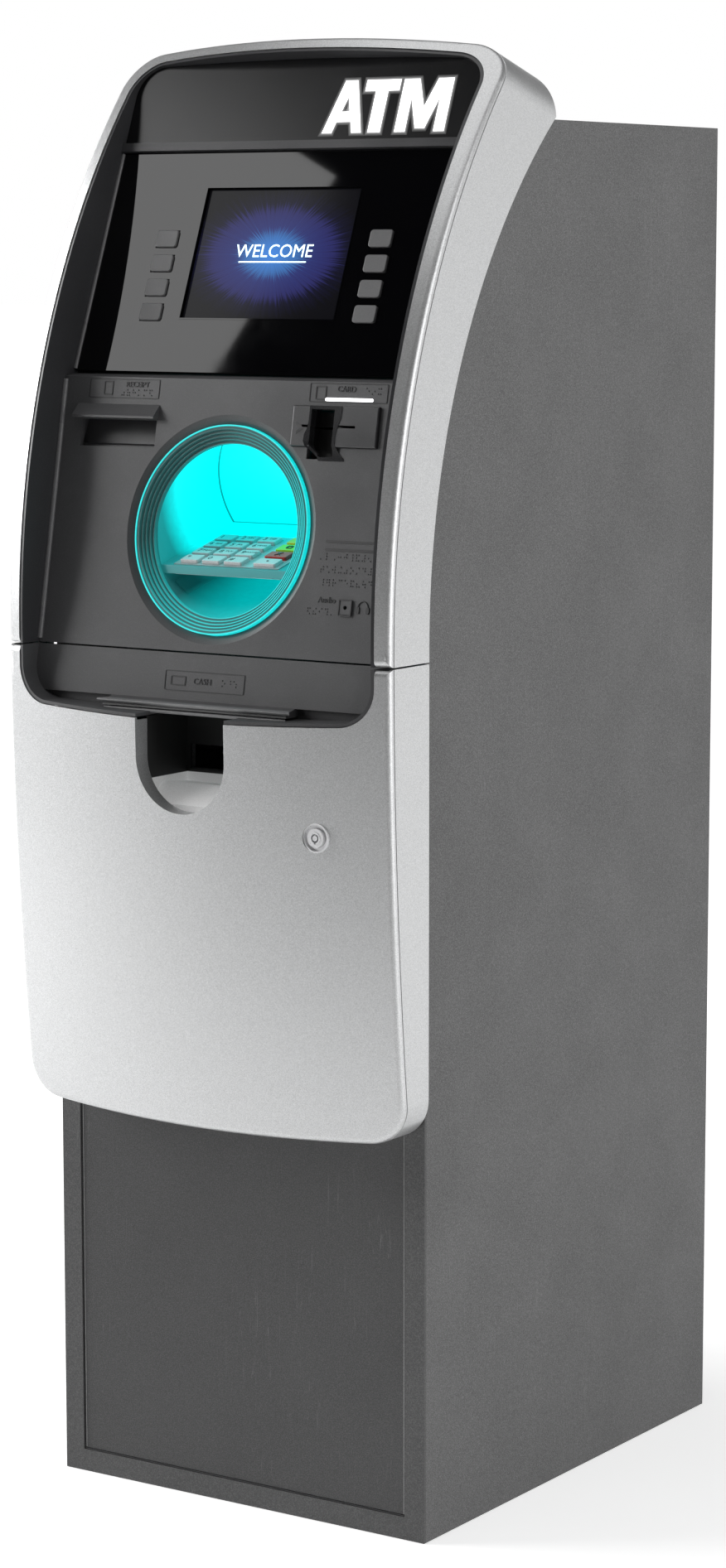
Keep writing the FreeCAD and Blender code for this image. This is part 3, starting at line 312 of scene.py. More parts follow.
def steel(name, tint, rough, direction=(40.0, 40.0, 1500.0), metallic=1.0):
    """Brushed or plated steel: fine lines along one axis, with handling marks."""
    s = Shader(name, Metallic=metallic)
    lines = s.noise(1.0, 3.0, 0.6, s.scaled(direction))
    blotch = s.noise(30.0, 4.0)
    dull = tuple(c * 0.78 for c in tint)
    s.set("Base Color", s.mix(s.remap(blotch, 0.35, 0.7), tint, dull))
    s.set("Roughness", s.remap(lines, 0.3, 0.7, rough - 0.08, rough + 0.10))
    s.bump(lines, 0.00005, 0.3)
    return s.mat


def glow(name, colour, strength, base=(0.8, 0.8, 0.8)):
    """A lit translucent plastic: even light with faint mottling from the diffuser."""
    s = Shader(name, Base_Color=base, Roughness=0.35)
    mottle = s.remap(s.noise(120.0, 3.0), 0.3, 0.7, 0.86, 1.0)
    s.set("Emission Color", colour)
    s.set("Emission Strength", s.product(mottle, strength))
    s.set("Roughness", s.remap(s.noise(600.0), 0.3, 0.7, 0.28, 0.42))
    return s.mat


def ring_light(centre, axis):
    """Grooved light guide: fine bright and dark rings, brightest at the lower right."""
    s = Shader("ring_light", Base_Color=(0.05, 0.12, 0.12), Roughness=0.3, Emission_Color=CYAN)
    from_axis = s.across(centre, axis)
    radius = s.length(from_axis)
    groove = s.math("SINE", s.product(radius, 2 * pi / RING_GROOVE))
    lines = s.remap(groove, -0.2, 0.9, 0.10, 1.0)
    side = s.dot(from_axis, (0.80, 0.0, -0.60))
    turn = s.remap(side, -0.060, 0.085, 0.03, 0.75)
    off_rim = s.math("ABSOLUTE", s.math("SUBTRACT", radius, RING_RIM))
    rim = s.remap(off_rim, 0.0004, 0.0010, 1.0, 0.0)
    level = s.math("MAXIMUM", s.product(lines, turn), s.product(rim, 0.8))
    s.set("Emission Strength", s.product(level, s.remap(s.noise(300.0), 0.3, 0.7, 0.9, 1.05)))
    return s.mat


def pocket_light(centre, axis):
    """Cyan plastic lit from behind: full at the back, dim at the mouth; painted shade below the shelf."""
    s = Shader("pocket_light", Base_Color=(0.04, 0.24, 0.25), Roughness=0.4, Emission_Color=CYAN)
    inside = s.across(centre, axis)
    wall = s.remap(s.length(inside), POCKET_WALL, POCKET_WALL + 0.0005, 1.0, 0.0)
    depth = s.dot(s.place, axis)
    mouth = centre.dot(axis)
    side = s.remap(depth, mouth + 0.020, mouth + 0.052, 0.10, 1.0)
    off_corner = s.math("ABSOLUTE", s.math("SUBTRACT", depth, mouth + POCKET_BACK))
    side = s.product(side, s.remap(off_corner, 0.0008, 0.0017, 0.1, 1.0))
    # Painted shade: the glow drops below the shelf, where the shelf shades the walls
    height = s.remap(s.axis("Z", inside), -0.046, -0.030, 0.12, 1.0)
    floor = s.remap(s.axis("Z", inside), -0.075, -0.055, 0.40, 0.0)
    level = s.product(s.math("MAXIMUM", s.product(side, height), floor), wall)
    s.set("Emission Strength", s.product(level, s.remap(s.noise(160.0, 3.0), 0.3, 0.7, 0.93, 1.05)))
    return s.mat


def picture(centre, up):
    """Welcome picture: a blue glow with fine rays that fades to black at the edges."""
    s = Shader("picture", Base_Color=(0.003, 0.003, 0.004), Roughness=0.09, Specular_IOR_Level=0.12)
    half_width, half_height, full_reach = 0.076, 0.047, 1.5
    away = s.away(centre)
    u = s.product(s.axis("X", away), 1 / half_width)
    v = s.product(s.dot(away, up), 1 / half_height)
    angle = s.math("ARCTAN2", v, u)
    around = s.node("ShaderNodeCombineXYZ")
    s.link(angle, around.inputs["X"])
    rays = s.remap(s.noise(26.0, 4.0, 0.75, around.outputs["Vector"]), 0.3, 0.7, -0.22, 0.22)
    reach = s.math("SQRT", s.math("ADD", s.product(u, u), s.product(v, v)))
    ramp = s.node("ShaderNodeValToRGB")
    stops = ((0.0, (0.055, 0.25, 0.75)), (0.25, (0.04, 0.15, 0.42)), (0.33, (0.026, 0.036, 0.17)),
             (0.56, (0.024, 0.024, 0.12)), (0.66, (0.006, 0.006, 0.02)), (0.85, (0.003, 0.003, 0.004)))
    while len(ramp.color_ramp.elements) < len(stops):
        ramp.color_ramp.elements.new(0.5)
    for element, (at, colour) in zip(ramp.color_ramp.elements, stops):
        element.position = at
        element.color = (*colour, 1.0)
    s.link(s.product(s.math("ADD", reach, rays), 1 / full_reach), ramp.inputs["Fac"])
    s.set("Emission Color", ramp.outputs["Color"])
    s.set("Emission Strength", 1.0)
    return s.mat


def reader_plastic(centre, inward):
    """Smooth dark grey bezel with painted shade: nearly black below the face, in the finger notch and slot."""
    s = Shader("reader_plastic", Roughness=0.32)
    # Painted shade: anything deeper than the face turns nearly black, as the shade in the recesses
    below = s.remap(s.dot(s.place, inward), centre.dot(inward), centre.dot(inward) + 0.0004)
    grain = s.remap(s.noise(1800.0, 2.0), 0.3, 0.7)
    face = s.mix(grain, (0.040, 0.040, 0.042), (0.060, 0.060, 0.062))
    s.set("Base Color", s.mix(below, face, (0.006, 0.006, 0.006)))
    s.set("Roughness", s.remap(s.noise(24.0, 4.0), 0.3, 0.7, 0.26, 0.38))
    s.bump(grain, 0.00003, 0.4)
    return s.mat


def tray_plastic():
    """Pale grey ramp of the cash tray with a painted glow; the dark shutter above, deepened by painted shade."""
    s = Shader("tray_plastic", Roughness=0.5)
    # Near black above TRAY_SPLIT: partly the dark shutter, partly painted shade in the tray's upper inside
    above = s.remap(s.axis("Z"), TRAY_SPLIT, TRAY_SPLIT + 0.0006, 0.0, 1.0)
    grain = s.remap(s.noise(1300.0, 2.0), 0.3, 0.7, 0.0, 1.0)
    ramp = s.mix(grain, (0.62, 0.62, 0.62), (0.76, 0.76, 0.76))
    s.set("Base Color", s.mix(above, ramp, (0.012, 0.012, 0.012)))
    # Painted light: the ramp glows faintly though no lamp lights it
    s.set("Emission Color", WHITE)
    s.set("Emission Strength", s.remap(above, 0.0, 1.0, 0.14, 0.0))
    s.set("Roughness", s.remap(s.noise(30.0, 4.0), 0.3, 0.7, 0.42, 0.58))
    s.bump(grain, 0.00005, 0.4)
    return s.mat


MATERIALS = {
    "cabinet_paint": powder_coat("cabinet_paint", (0.062, 0.062, 0.063), (0.172, 0.172, 0.172), 0.52),
    "frame_paint": powder_coat("frame_paint", (0.046, 0.046, 0.047), (0.112, 0.112, 0.112), 0.5),
    "silver_plastic": silver_paint(),
    "charcoal_plastic": moulded("charcoal_plastic", (0.043, 0.043, 0.045), 0.42),
    "screen_black": gloss_black(),
    "sign_white": glow("sign_white", WHITE, 3.0),
    "light_guide": ring_light(control.origin, control.d),
    "pocket_plastic": pocket_light(control.origin, pocket.s),
    # Teal tint: painted cyan light from the pocket on the keypad's metal
    "pad_metal": steel("pad_metal", (0.45, 0.55, 0.56), 0.40, (1500.0, 30.0, 30.0), 0.3),
    "pin_key": moulded("pin_key", (0.50, 0.52, 0.53), 0.36, 1500.0, 0.00004),
    "soft_key": moulded("soft_key", (0.068, 0.068, 0.070), 0.45, 1600.0, 0.00004),
    "reader_plastic": reader_plastic(control.origin, control.d),
    "printer_black": moulded("printer_black", (0.030, 0.030, 0.032), 0.45),
    "paper": moulded("paper", (0.78, 0.78, 0.75), 0.85, 700.0, 0.00005, 0.2),
    "lock_chrome": steel("lock_chrome", (0.80, 0.80, 0.81), 0.34, (900.0, 900.0, 900.0), 0.6),
    "hinge_steel": steel("hinge_steel", (0.46, 0.46, 0.47), 0.34),
    "zinc_steel": steel("zinc_steel", (0.40, 0.41, 0.43), 0.42, (60.0, 700.0, 60.0)),
    "cassette_plastic": moulded("cassette_plastic", (0.055, 0.06, 0.068), 0.5),
    "roller_rubber": moulded("roller_rubber", (0.02, 0.02, 0.02), 0.75, 500.0, 0.0001, 0.3),
    "dial_black": steel("dial_black", (0.05, 0.05, 0.052), 0.4),
    "lcd_glass": gloss_black(),
}
BEZEL = moulded("bezel_plastic", (0.024, 0.024, 0.026), 0.36)
DOOR_PAINT = powder_coat("door_paint", (0.034, 0.034, 0.035), (0.085, 0.085, 0.085), 0.48)
# Lighter strips on the door's side edges: painted highlight
PAINTED_EDGE_HIGHLIGHT = powder_coat("bright_edge", (0.19, 0.19, 0.19), (0.30, 0.30, 0.30), 0.4)
# Darker than the panel: painted shade for the raised letters, frames and dots
LABEL = moulded("label_relief", (0.012, 0.012, 0.013), 0.5)
# Lighter than the charcoal plastic: painted highlight on the rounded rails and the awning beads
RAIL = moulded("rail_plastic", (0.105, 0.105, 0.108), 0.32)
LEGEND = moulded("legend_ink", (0.02, 0.02, 0.022), 0.5, 900.0, 0.00002)
# Near black: painted shade in the door gap and inside the card reader's finger notch
DARK_GLOSS = moulded("dark_gloss", (0.010, 0.010, 0.011), 0.22, 1800.0, 0.00002)
KEY_COLOURS = {
    1: moulded("key_amber", (0.75, 0.48, 0.02), 0.36, 1500.0, 0.00004),
    2: moulded("key_green", (0.30, 0.62, 0.02), 0.36, 1500.0, 0.00004),
    3: moulded("key_red", (0.42, 0.015, 0.01), 0.36, 1500.0, 0.00004),
}
LAMP_WHITE = glow("lamp_white", WHITE, 2.5)
PICTURE = picture(screen.at(0, 111.1), screen.s)
PICTURE_WHITE = glow("picture_white", (0.62, 0.95, 1.0), 1.6)

for part in record["subparts"]:
    mesh = nodes[part["node"]].data
    mesh.materials.clear()
    mesh.materials.append(MATERIALS[part["material_slot"]])
nodes["upper_bezel"].data.materials[0] = BEZEL
nodes["vault_door"].data.materials[0] = DOOR_PAINT
nodes["cash_tray"].data.materials[0] = tray_plastic()
for row, colour in KEY_COLOURS.items():
    nodes["pin_key_r%d_c4" % row].data.materials[0] = colour


# ---- small shapes ----------------------------------------------------------------------------


def rounded(x, s, r, steps=4):
    """Outline of a rounded rectangle from (low, high) pairs."""
    left, right, low, high = x[0] + r, x[1] - r, s[0] + r, s[1] - r
    corners = ((right, high, 0), (left, high, 90), (left, low, 180), (right, low, 270))
    points = []
    for cx, cs, start in corners:
        for i in range(steps + 1):
            turn = radians(start + 90 * i / steps)
            points.append((cx + r * cos(turn), cs + r * sin(turn)))
    return points


def circle(x, s, radius, sides):
    """Points of a circle on a working plane."""
    turns = [2 * pi * i / sides for i in range(sides)]
    return [(x + radius * cos(turn), s + radius * sin(turn)) for turn in turns]


def at_depth(outline, d):
    """An outline of (x, s) points as a ring at one depth."""
    return [(x, s, d) for x, s in outline]


class Kit:
    """Collects small shapes on working planes into one piece."""

    def __init__(self, bm=None):
        self.bm = bmesh.new() if bm is None else bm

    def loft(self, plane, rings, closed=True):
        """Skins rings of (x, s, d) points and caps both ends when closed."""
        rows = [[self.bm.verts.new(plane.at(*p)) for p in ring] for ring in rings]
        for low, high in zip(rows, rows[1:]):
            for i in range(len(low)):
                j = (i + 1) % len(low)
                self.bm.faces.new((low[i], low[j], high[j], high[i]))
        if closed:
            self.bm.faces.new(rows[0])
            self.bm.faces.new(list(reversed(rows[-1])))
        return self

    def plate(self, plane, outline, front, back, edge=0.15):
        """A plate with a chamfered front edge; front and back are depths."""
        cx = sum(p[0] for p in outline) / len(outline)
        cs = sum(p[1] for p in outline) / len(outline)
        span = max(max(abs(p[0] - cx), abs(p[1] - cs)) for p in outline)
        shrink = 1 - edge / span
        small = [(cx + (x - cx) * shrink, cs + (s - cs) * shrink) for x, s in outline]
        rings = [at_depth(small, front), at_depth(outline, front + edge), at_depth(outline, back)]
        return self.loft(plane, rings)

    def frame(self, plane, x, s, wide, front, back):
        """A raised rectangular outline."""
        radius = 1.2
        outer = rounded(x, s, radius)
        inside = ((x[0] + wide, x[1] - wide), (s[0] + wide, s[1] - wide))
        inner = rounded(*inside, max(0.3, radius - wide))
        outside = [at_depth(outer, back), at_depth(outer, front)]
        return self.loft(plane, outside + [at_depth(inner, front), at_depth(inner, back)], closed=False)

    def dome(self, plane, x, s, radius, rise, front=0.0, sides=10):
        """A low dome whose skirt goes 0.3 mm under the surface."""
        rings = [at_depth(circle(x, s, radius, sides), front + 0.3)]
        for share in (1.0, 0.92, 0.70, 0.36):
            out = rise * (1 - share * share) ** 0.5
            rings.append(at_depth(circle(x, s, radius * share, sides), front - out))
        return self.loft(plane, rings)

    def braille(self, plane, x, s, cells, seed):
        """Rows of raised dots in six-dot cells, a pattern that spells nothing."""
        cell_pitch, dot_pitch = 6.1, 2.3
        for cell in range(cells):
            bits = (seed * 37 + cell * 53 + cell * cell * 11) % 61 + 2
            for dot in range(6):
                if bits >> dot & 1:
                    across = x + cell * cell_pitch + (dot // 3) * dot_pitch
                    self.dome(plane, across, s - (dot % 3) * dot_pitch, 0.75, 0.45, sides=8)
        return self

    def words(self, plane, text, x, s, size, front, back):
        """Plain block lettering, centred on (x, s)."""
        curve = bpy.data.curves.new("words", "FONT")
        curve.body = text
        curve.size = size
        curve.align_x = "CENTER"
        curve.align_y = "CENTER"
        curve.extrude = (back - front) / 2
        curve.resolution_u = 3
        holder = bpy.data.objects.new("words", curve)
        mesh = bpy.data.meshes.new_from_object(holder)
        middle = (back + front) / 2
        for vertex in mesh.vertices:
            vertex.co = plane.at(x + vertex.co.x, s + vertex.co.y, middle - vertex.co.z)
        self.bm.from_mesh(mesh)
        bpy.data.objects.remove(holder)
        bpy.data.curves.remove(curve)
        bpy.data.meshes.remove(mesh)
        return self

    def pipe(self, points, radius, sides=10):
        """A round tube along points, capped at both ends."""
        rings = []
        side = None
        for i, point in enumerate(points):
            ahead = points[min(i + 1, len(points) - 1)] - points[max(i - 1, 0)]
            if side is None:
                side = ahead.orthogonal().normalized()
            else:
                side = (side - ahead * (side.dot(ahead) / ahead.length_squared)).normalized()
            up = ahead.normalized().cross(side)
            ring = []
            for k in range(sides):
                turn = 2 * pi * k / sides
                ring.append(self.bm.verts.new(point + (side * cos(turn) + up * sin(turn)) * radius))
            rings.append(ring)
        for low, high in zip(rings, rings[1:]):
            for k in range(sides):
                self.bm.faces.new((low[k], low[(k + 1) % sides], high[(k + 1) % sides], high[k]))
        self.bm.faces.new(rings[0])
        self.bm.faces.new(list(reversed(rings[-1])))
        return self

    def make(self, name, body, slot, material=None, smooth=35):
        """Turns the shapes into one object that rides a body."""
        bmesh.ops.remove_doubles(self.bm, verts=self.bm.verts, dist=1e-7)
        bmesh.ops.recalc_face_normals(self.bm, faces=self.bm.faces)
        mesh = bpy.data.meshes.new(name)
        self.bm.to_mesh(mesh)
        self.bm.free()
        mesh.materials.append(material or MATERIALS[slot])
        made = bpy.data.objects.new(name, mesh)
        bpy.context.scene.collection.objects.link(made)
        mesh.shade_smooth()
        mesh.set_sharp_from_angle(angle=radians(smooth))
        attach(made, body)


# ---- screen ----------------------------------------------------------------------------------


def screen_details():
    """The lit picture behind the display window, its greeting and the window's dark border."""
    picture_at = Kit().plate(screen, rounded((-81.6, 81.6), (50.8, 171.4), 0.6), 3.35, 3.55, 0.05)
    picture_at.make("display_picture", "hood", "lcd_glass", PICTURE)
    word = Kit().words(screen, "WELCOME", 2, 113.5, 17, 3.15, 3.3)
    word.plate(screen, rounded((-34, 38), (103.2, 104.4), 0.5), 3.15, 3.3, 0.05)
    word.make("display_greeting", "hood", "lcd_glass", PICTURE_WHITE)
    rim = Kit().frame(screen, (-83.4, 83.4), (48.9, 173.3), 1.3, -0.25, 0.2)
    rim.make("display_rim", "hood", "screen_black")


def grown_letters(grow, front):
    """The sign's letters with their sides moved outwards, as a thin slab from front to 0.5 mm deep."""
    bm = bmesh.new()
    bm.from_mesh(nodes["sign_letters"].data)
    bmesh.ops.remove_doubles(bm, verts=bm.verts, dist=1e-6)
    moves = {}
    for vertex in bm.verts:
        sides = []
        for face in vertex.link_faces:
            face.normal_update()
            flat = face.normal - screen.d * face.normal.dot(screen.d)
            if flat.length > 0.5 and all(flat.normalized().dot(other) < 0.99 for other in sides):
                sides.append(flat.normalized())
        out = sum(sides, Vector())
        if len(sides) == 2:
            out = out / (1 + sides[0].dot(sides[1]))
        moves[vertex] = out * grow * MM
    for vertex, move in moves.items():
        depth = (vertex.co - screen.origin).dot(screen.d)
        level = front if depth < 0 else 0.5
        vertex.co += move + screen.d * (level * MM - depth)
    return Kit(bm)


def sign_halo():
    """Faint light around the lit letters: thin outlines that grow and dim."""
    for number, (grow, strength) in enumerate(((0.9, 0.40), (1.9, 0.15), (3.0, 0.05))):
        light = glow("halo_%d" % number, WHITE, strength, (0.01, 0.01, 0.01))
        halo = grown_letters(grow, -0.20 + 0.05 * number)
        halo.make("sign_halo_%d" % (number + 1), "hood", "sign_white", light)


def receipt_label():
    """The label over the receipt outlet: a border, a slip of paper, the word and dots."""
    label = Kit().frame(control, (-157, -80), (112.0, 129.0), 0.6, LABEL_EDGE, 0.3)
    label.words(control, "RECEIPT", -104, 124.0, 7.0, RELIEF, 0.2).braille(control, -121, 119.3, 6, 3)
    label.frame(control, (-141, -131), (114.5, 127.0), 1.1, RELIEF, 0.2)
    label.make("receipt_label", "hood", "charcoal_plastic", LABEL)


def card_marks():
    """The card reader's label, the lit bar over it and the raised arrow beside its slot."""
    card = Kit().frame(control, (80, 160), (113.0, 129.5), 0.6, LABEL_EDGE, 0.3)
    card.words(control, "CARD", 118, 124.3, 7.0, RELIEF, 0.2).braille(control, 138, 125.5, 3, 7)
    card.frame(control, (86, 97), (115.0, 127.0), 1.1, RELIEF, 0.2)
    card.make("card_label", "hood", "charcoal_plastic", LABEL)
    bar = Kit().plate(control, rounded((97, 146), (114.0, 116.8), 1.3), -0.9, 0.3, 0.3)
    bar.make("card_lamp", "hood", "sign_white", LAMP_WHITE)
    foot = [(71.5, 84.5), (71.5, 95.5), (79.5, 90.0)]
    top = [(72.6, 87.0), (72.6, 93.0), (76.6, 90.0)]
    arrow = Kit().loft(control, [at_depth(foot, -3.0), at_depth(top, -4.6)])
    arrow.make("card_arrow", "hood", "reader_plastic", smooth=20)


def audio_marks():
    """Plain raised lines and dots, the jack's frame and a headphone outline."""
    audio = Kit().words(control, "Audio", 119, -55.5, 7.5, RELIEF, 0.2)
    audio.braille(control, 100, -63.0, 5, 11)
    for row, seed in enumerate((5, 9, 13)):
        audio.braille(control, 108 + 1.5 * row, -16.0 - 11.0 * row, 10, seed)
    for row in range(2):
        line = rounded((112, 170 - 8 * row), (-6.5 - 7.0 * row, -4.3 - 7.0 * row), 0.9)
        audio.plate(control, line, LABEL_EDGE, 0.2)
    audio.frame(control, (132.3, 145.7), (-68.5, -54.0), 1.0, -1.7, -0.9)
    audio.make("audio_label", "hood", "charcoal_plastic", LABEL)
    turns = [pi * i / 10 for i in range(11)]
    band = [control.at(156.5 + 5.0 * cos(turn), -60.0 + 5.2 * sin(turn), -0.3) for turn in turns]
    phones = Kit().pipe(band, 0.0005, 8)
    for x in (151.5, 161.5):
        phones.plate(control, rounded((x - 1.6, x + 1.6), (-65.5, -59.5), 1.2), -0.8, 0.2)
    phones.make("headphone_mark", "hood", "charcoal_plastic", LABEL)


def notch_lip():
    """Glossy curved lip around the card reader's finger notch, open at the notch; near black as painted shade."""
    outer = [(84.0, 109.5), (84.0, 96.0), (83.0, 90.0), (80.5, 85.0), (80.0, 79.0), (82.0, 75.0),
             (88.0, 70.5), (94.5, 65.5), (95.5, 62.8), (122.0, 62.8), (121.5, 65.0), (116.5, 69.5),
             (113.0, 76.0), (112.6, 84.0), (114.5, 92.0), (117.0, 99.0), (117.5, 109.5)]
    inner = [(86.2, 106.5), (86.2, 98.0), (86.2, 92.0), (86.2, 86.0), (86.2, 80.0), (86.2, 76.5),
             (88.5, 73.0), (94.0, 69.0), (95.0, 66.0), (109.8, 66.0), (109.8, 68.0), (109.8, 71.0),
             (109.8, 76.0), (109.8, 84.0), (109.8, 92.0), (109.8, 99.0), (109.8, 106.5)]
    bezel_low, on_bezel, on_panel = 74, -3.35, -0.4
    depths = [on_bezel if s > bezel_low else on_panel for x, s in outer]
    foot = [(x, s, d + 0.5) for (x, s), d in zip(outer, depths)]
    edge = [(x, s, d) for (x, s), d in zip(outer, depths)]
    brink = [(x, s, d) for (x, s), d in zip(inner, depths)]
    lip = Kit().loft(control, [foot, edge, brink, at_depth(inner, 4.5)], closed=False)
    lip.make("card_notch_lip", "hood", "reader_plastic", DARK_GLOSS, smooth=50)


def key_mark(kit, row, x, s):
    """Tactile mark on a function key of the last column."""
    front, back = KEY_TOP - 0.5, KEY_TOP + 0.05
    if row == 1:
        kit.plate(pocket, rounded((x - 5, x + 5), (s - 0.7, s + 0.7), 0.6), front, back)
    elif row == 2:
        kit.frame(pocket, (x - 3, x + 3), (s - 3, s + 3), 1.1, front, back)
    elif row == 3:
        kit.words(pocket, "X", x, s, 9, front, back)
    else:
        kit.dome(pocket, x, s, 1.2, 0.5, KEY_TOP)


def key_legends():
    """Printed digits and letters on the number keys, and tactile marks on the function keys."""
    digits = ("123", "456", "789", "*0#")
    letters = dict(zip("23456789", ("ABC", "DEF", "GHI", "JKL", "MNO", "PQRS", "TUV", "WXYZ")))
    front, back = KEY_TOP - INK, KEY_TOP + 0.05
    for row in range(1, 5):
        for column in range(1, 5):
            node = "pin_key_r%d_c%d" % (row, column)
            low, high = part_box(node)
            middle = (low + high) / 2 - pocket.origin
            x, s = middle.dot(pocket.x) / MM, middle.dot(pocket.s) / MM
            kit = Kit()
            if column < 4:
                digit = digits[row - 1][column - 1]
                kit.words(pocket, digit, x - 4.4, s, 8.5, front, back)
                if digit in letters:
                    kit.words(pocket, letters[digit], x + 3.6, s + 0.6, 4.2, front, back)
            else:
                key_mark(kit, row, x, s)
            kit.make("legend_r%d_c%d" % (row, column), node, "pin_key", LEGEND)


def pocket_gutters():
    """Thin curved strips along both lower sides of the pocket, under the keypad's edges."""
    kit = Kit()
    for side in (-1, 1):
        angles = [radians(36.2 + 1.3 * step) for step in range(11)]
        section = [(side * 75.9 * sin(a), 75.9 * cos(a)) for a in angles]
        section += [(side * 75.3 * sin(a), 75.3 * cos(a)) for a in reversed(angles)]
        kit.loft(pocket, [[(x, s, d) for x, d in section] for s in (-2.0, 76.0)])
    kit.make("pocket_gutters", "hood", "pocket_plastic")


def bezel_trims():
    """Rounded rails where the side walls meet the screen and the control panel."""
    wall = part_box("screen_panel")[1].x / MM
    for side, name in ((-1, "left"), (1, "right")):
        x = side * (wall - 0.8)
        upper = [screen.at(x, s, -0.6) for s in (1, 70, 140, 205)]
        Kit().pipe(upper, 0.0017, 12).make("screen_rail_" + name, "hood", "charcoal_plastic", RAIL)
        lower = [control.at(x, s, -0.6) for s in (-104, -60, 0, 60, 128)]
        Kit().pipe(lower, 0.0024, 12).make("control_rail_" + name, "hood", "charcoal_plastic", RAIL)


def cash_details():
    """Raised label over the cash outlet and the two beads of the awning."""
    label = Kit().frame(control, (-42.5, 42.5), (-141.5, -124.0), 0.6, LABEL_EDGE, 0.3)
    label.words(control, "CASH", -2, -132.7, 7.5, RELIEF, 0.2).braille(control, 19, -130.3, 3, 17)
    label.frame(control, (-36, -20), (-137.0, -128.5), 1.0, RELIEF, 0.2)
    label.make("cash_label", "lower_fascia", "charcoal_plastic", LABEL)
    y = control.at(0, -148).y / MM
    upright = Plane((0, 0, 0), (0, 1, 0))
    profile = ((0.0, 1.6), (-0.9, 1.2), (-1.3, 0.0), (-0.9, -1.2), (0.0, -1.6), (6.0, -1.6), (6.0, 1.6))
    beads = Kit()
    for z, reach, half in ((730.2, 15.5, 98.0), (723.4, 13.0, 92.0)):
        ends = []
        for side in (-1, 1):
            ends.append([(side * (half + 4 - dy * 0.8), z + dz, y - reach + dy) for dy, dz in profile])
        beads.loft(upright, ends)
    beads.make("awning_beads", "lower_fascia", "charcoal_plastic", RAIL)


def screw_heads(name, body, slot, plane, places, radius):
    """Pan-head screws with a cross recess."""
    kit = Kit()
    for x, s in places:
        kit.dome(plane, x, s, radius, radius * 0.45, sides=14)
        for turn in (0.4, 0.4 + pi / 2):
            dx, ds = cos(turn) * radius * 0.55, sin(turn) * radius * 0.55
            wx, ws = -ds * 0.2, dx * 0.2
            cross = [(x - dx + wx, s - ds + ws), (x + dx + wx, s + ds + ws),
                     (x + dx - wx, s + ds - ws), (x - dx - wx, s - ds - ws)]
            kit.plate(plane, cross, -radius * 0.47, -radius * 0.1, 0.05)
    kit.make(name, body, slot)


def rear_details():
    """Screws, seams and the fan with its grille on the back."""
    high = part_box("rear_panel")[1]
    back = Plane((0, high.y, 0), (0, -1, 0), (-1, 0, 0))
    side = (high.x - 0.012) / MM
    rows = [40, 240, 440, 640, 840, 1040, 1215]
    places = [(x, z) for x in (-side, side) for z in rows]
    screw_heads("rear_screws", "cabinet", "zinc_steel", back, places, 3.4)
    x, z = FAN_AT
    disc = Kit().plate(back, circle(x, z, 39, 36), -0.3, 0.3, 0.2)
    disc.make("fan_opening", "cabinet", "printer_black")
    grille = Kit()
    for radius in (18, 27, 36):
        ring = [back.at(a, b, GRILLE_PROUD) for a, b in circle(x, z, radius, 36)]
        grille.pipe(ring + ring[:1], 0.0011, 8)
    for turn in range(4):
        dx, ds = 40 * cos(turn * pi / 4 + 0.4), 40 * sin(turn * pi / 4 + 0.4)
        spoke = [back.at(x - dx, z - ds, GRILLE_PROUD), back.at(x + dx, z + ds, GRILLE_PROUD)]
        grille.pipe(spoke, 0.0011, 8)
    grille.make("fan_grille", "cabinet", "zinc_steel")
    places = [(x + 38 * a, z + 38 * b) for a in (-1, 1) for b in (-1, 1)]
    screw_heads("fan_screws", "cabinet", "zinc_steel", back, places, 2.6)
    seam = Kit()
    for height in (640.0, 1226.0):
        seam.plate(back, rounded((-196, 196), (height, height + 4), 1.5), -0.6, 0.5, 0.3)
    seam.make("rear_seams", "cabinet", "cabinet_paint")


def door_details():
    """Painted shade in the door's gap, painted highlights on its side edges, and the hinge strap screws."""
    low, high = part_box("vault_door")
    right, bottom = high.x / MM, low.z / MM
    left = -right
    gap = Kit()
    # Painted shade: dark strips fill the gap around the door
    for x in (left - 1.3, right + 0.3):
        gap.plate(front, rounded((x, x + 1.0), (bottom - 1.2, 398), 0.3), 1.2, 3.0, 0.1)
    sill = rounded((left - 1.2, right + 1.2), (bottom - 1.3, bottom - 0.3), 0.3)
    gap.plate(front, sill, 1.2, 3.0, 0.1)
    gap.make("door_gap_shadow", "cabinet", "frame_paint", DARK_GLOSS)
    # Painted highlight: lighter strips along the door's side edges
    edges = Kit()
    for x in (left + 0.1, right - 0.9):
        strip = rounded((x, x + 0.8), (bottom + 0.5, 390), 0.3)
        edges.plate(front, strip, DOOR_DEPTH - 0.35, DOOR_DEPTH + 0.3, 0.1)
    edges.make("door_painted_highlights", "vault_door", "frame_paint", PAINTED_EDGE_HIGHLIGHT)
    places = [(x, z) for x in (-170, -150, -130) for z in (445, 584)]
    strap = Plane((0, front.origin.y - 5 * MM, 0), (0, 1, 0))
    screw_heads("strap_screws", "vault_door", "hinge_steel", strap, places, 3.0)


screen_details()
sign_halo()
receipt_label()
card_marks()
audio_marks()
notch_lip()
key_legends()
pocket_gutters()
bezel_trims()
cash_details()
rear_details()
door_details()

# ---- stage -----------------------------------------------------------------------------------

CAMERA_AT = (1.970, -2.976, 1.1186)

# The room is dark towards AHEAD, from one cosine to the other of SECTOR
AHEAD = (0.09, -0.996, 0.0)
SECTOR = (0.30, 0.86)

# The screen mirrors an edge of light along this line (x and s in mm), from panels this far off (m)
MIRROR_LINE = ((-31.0, 0.0), (63.0, 205.0))
MIRROR_REACH = 2.4


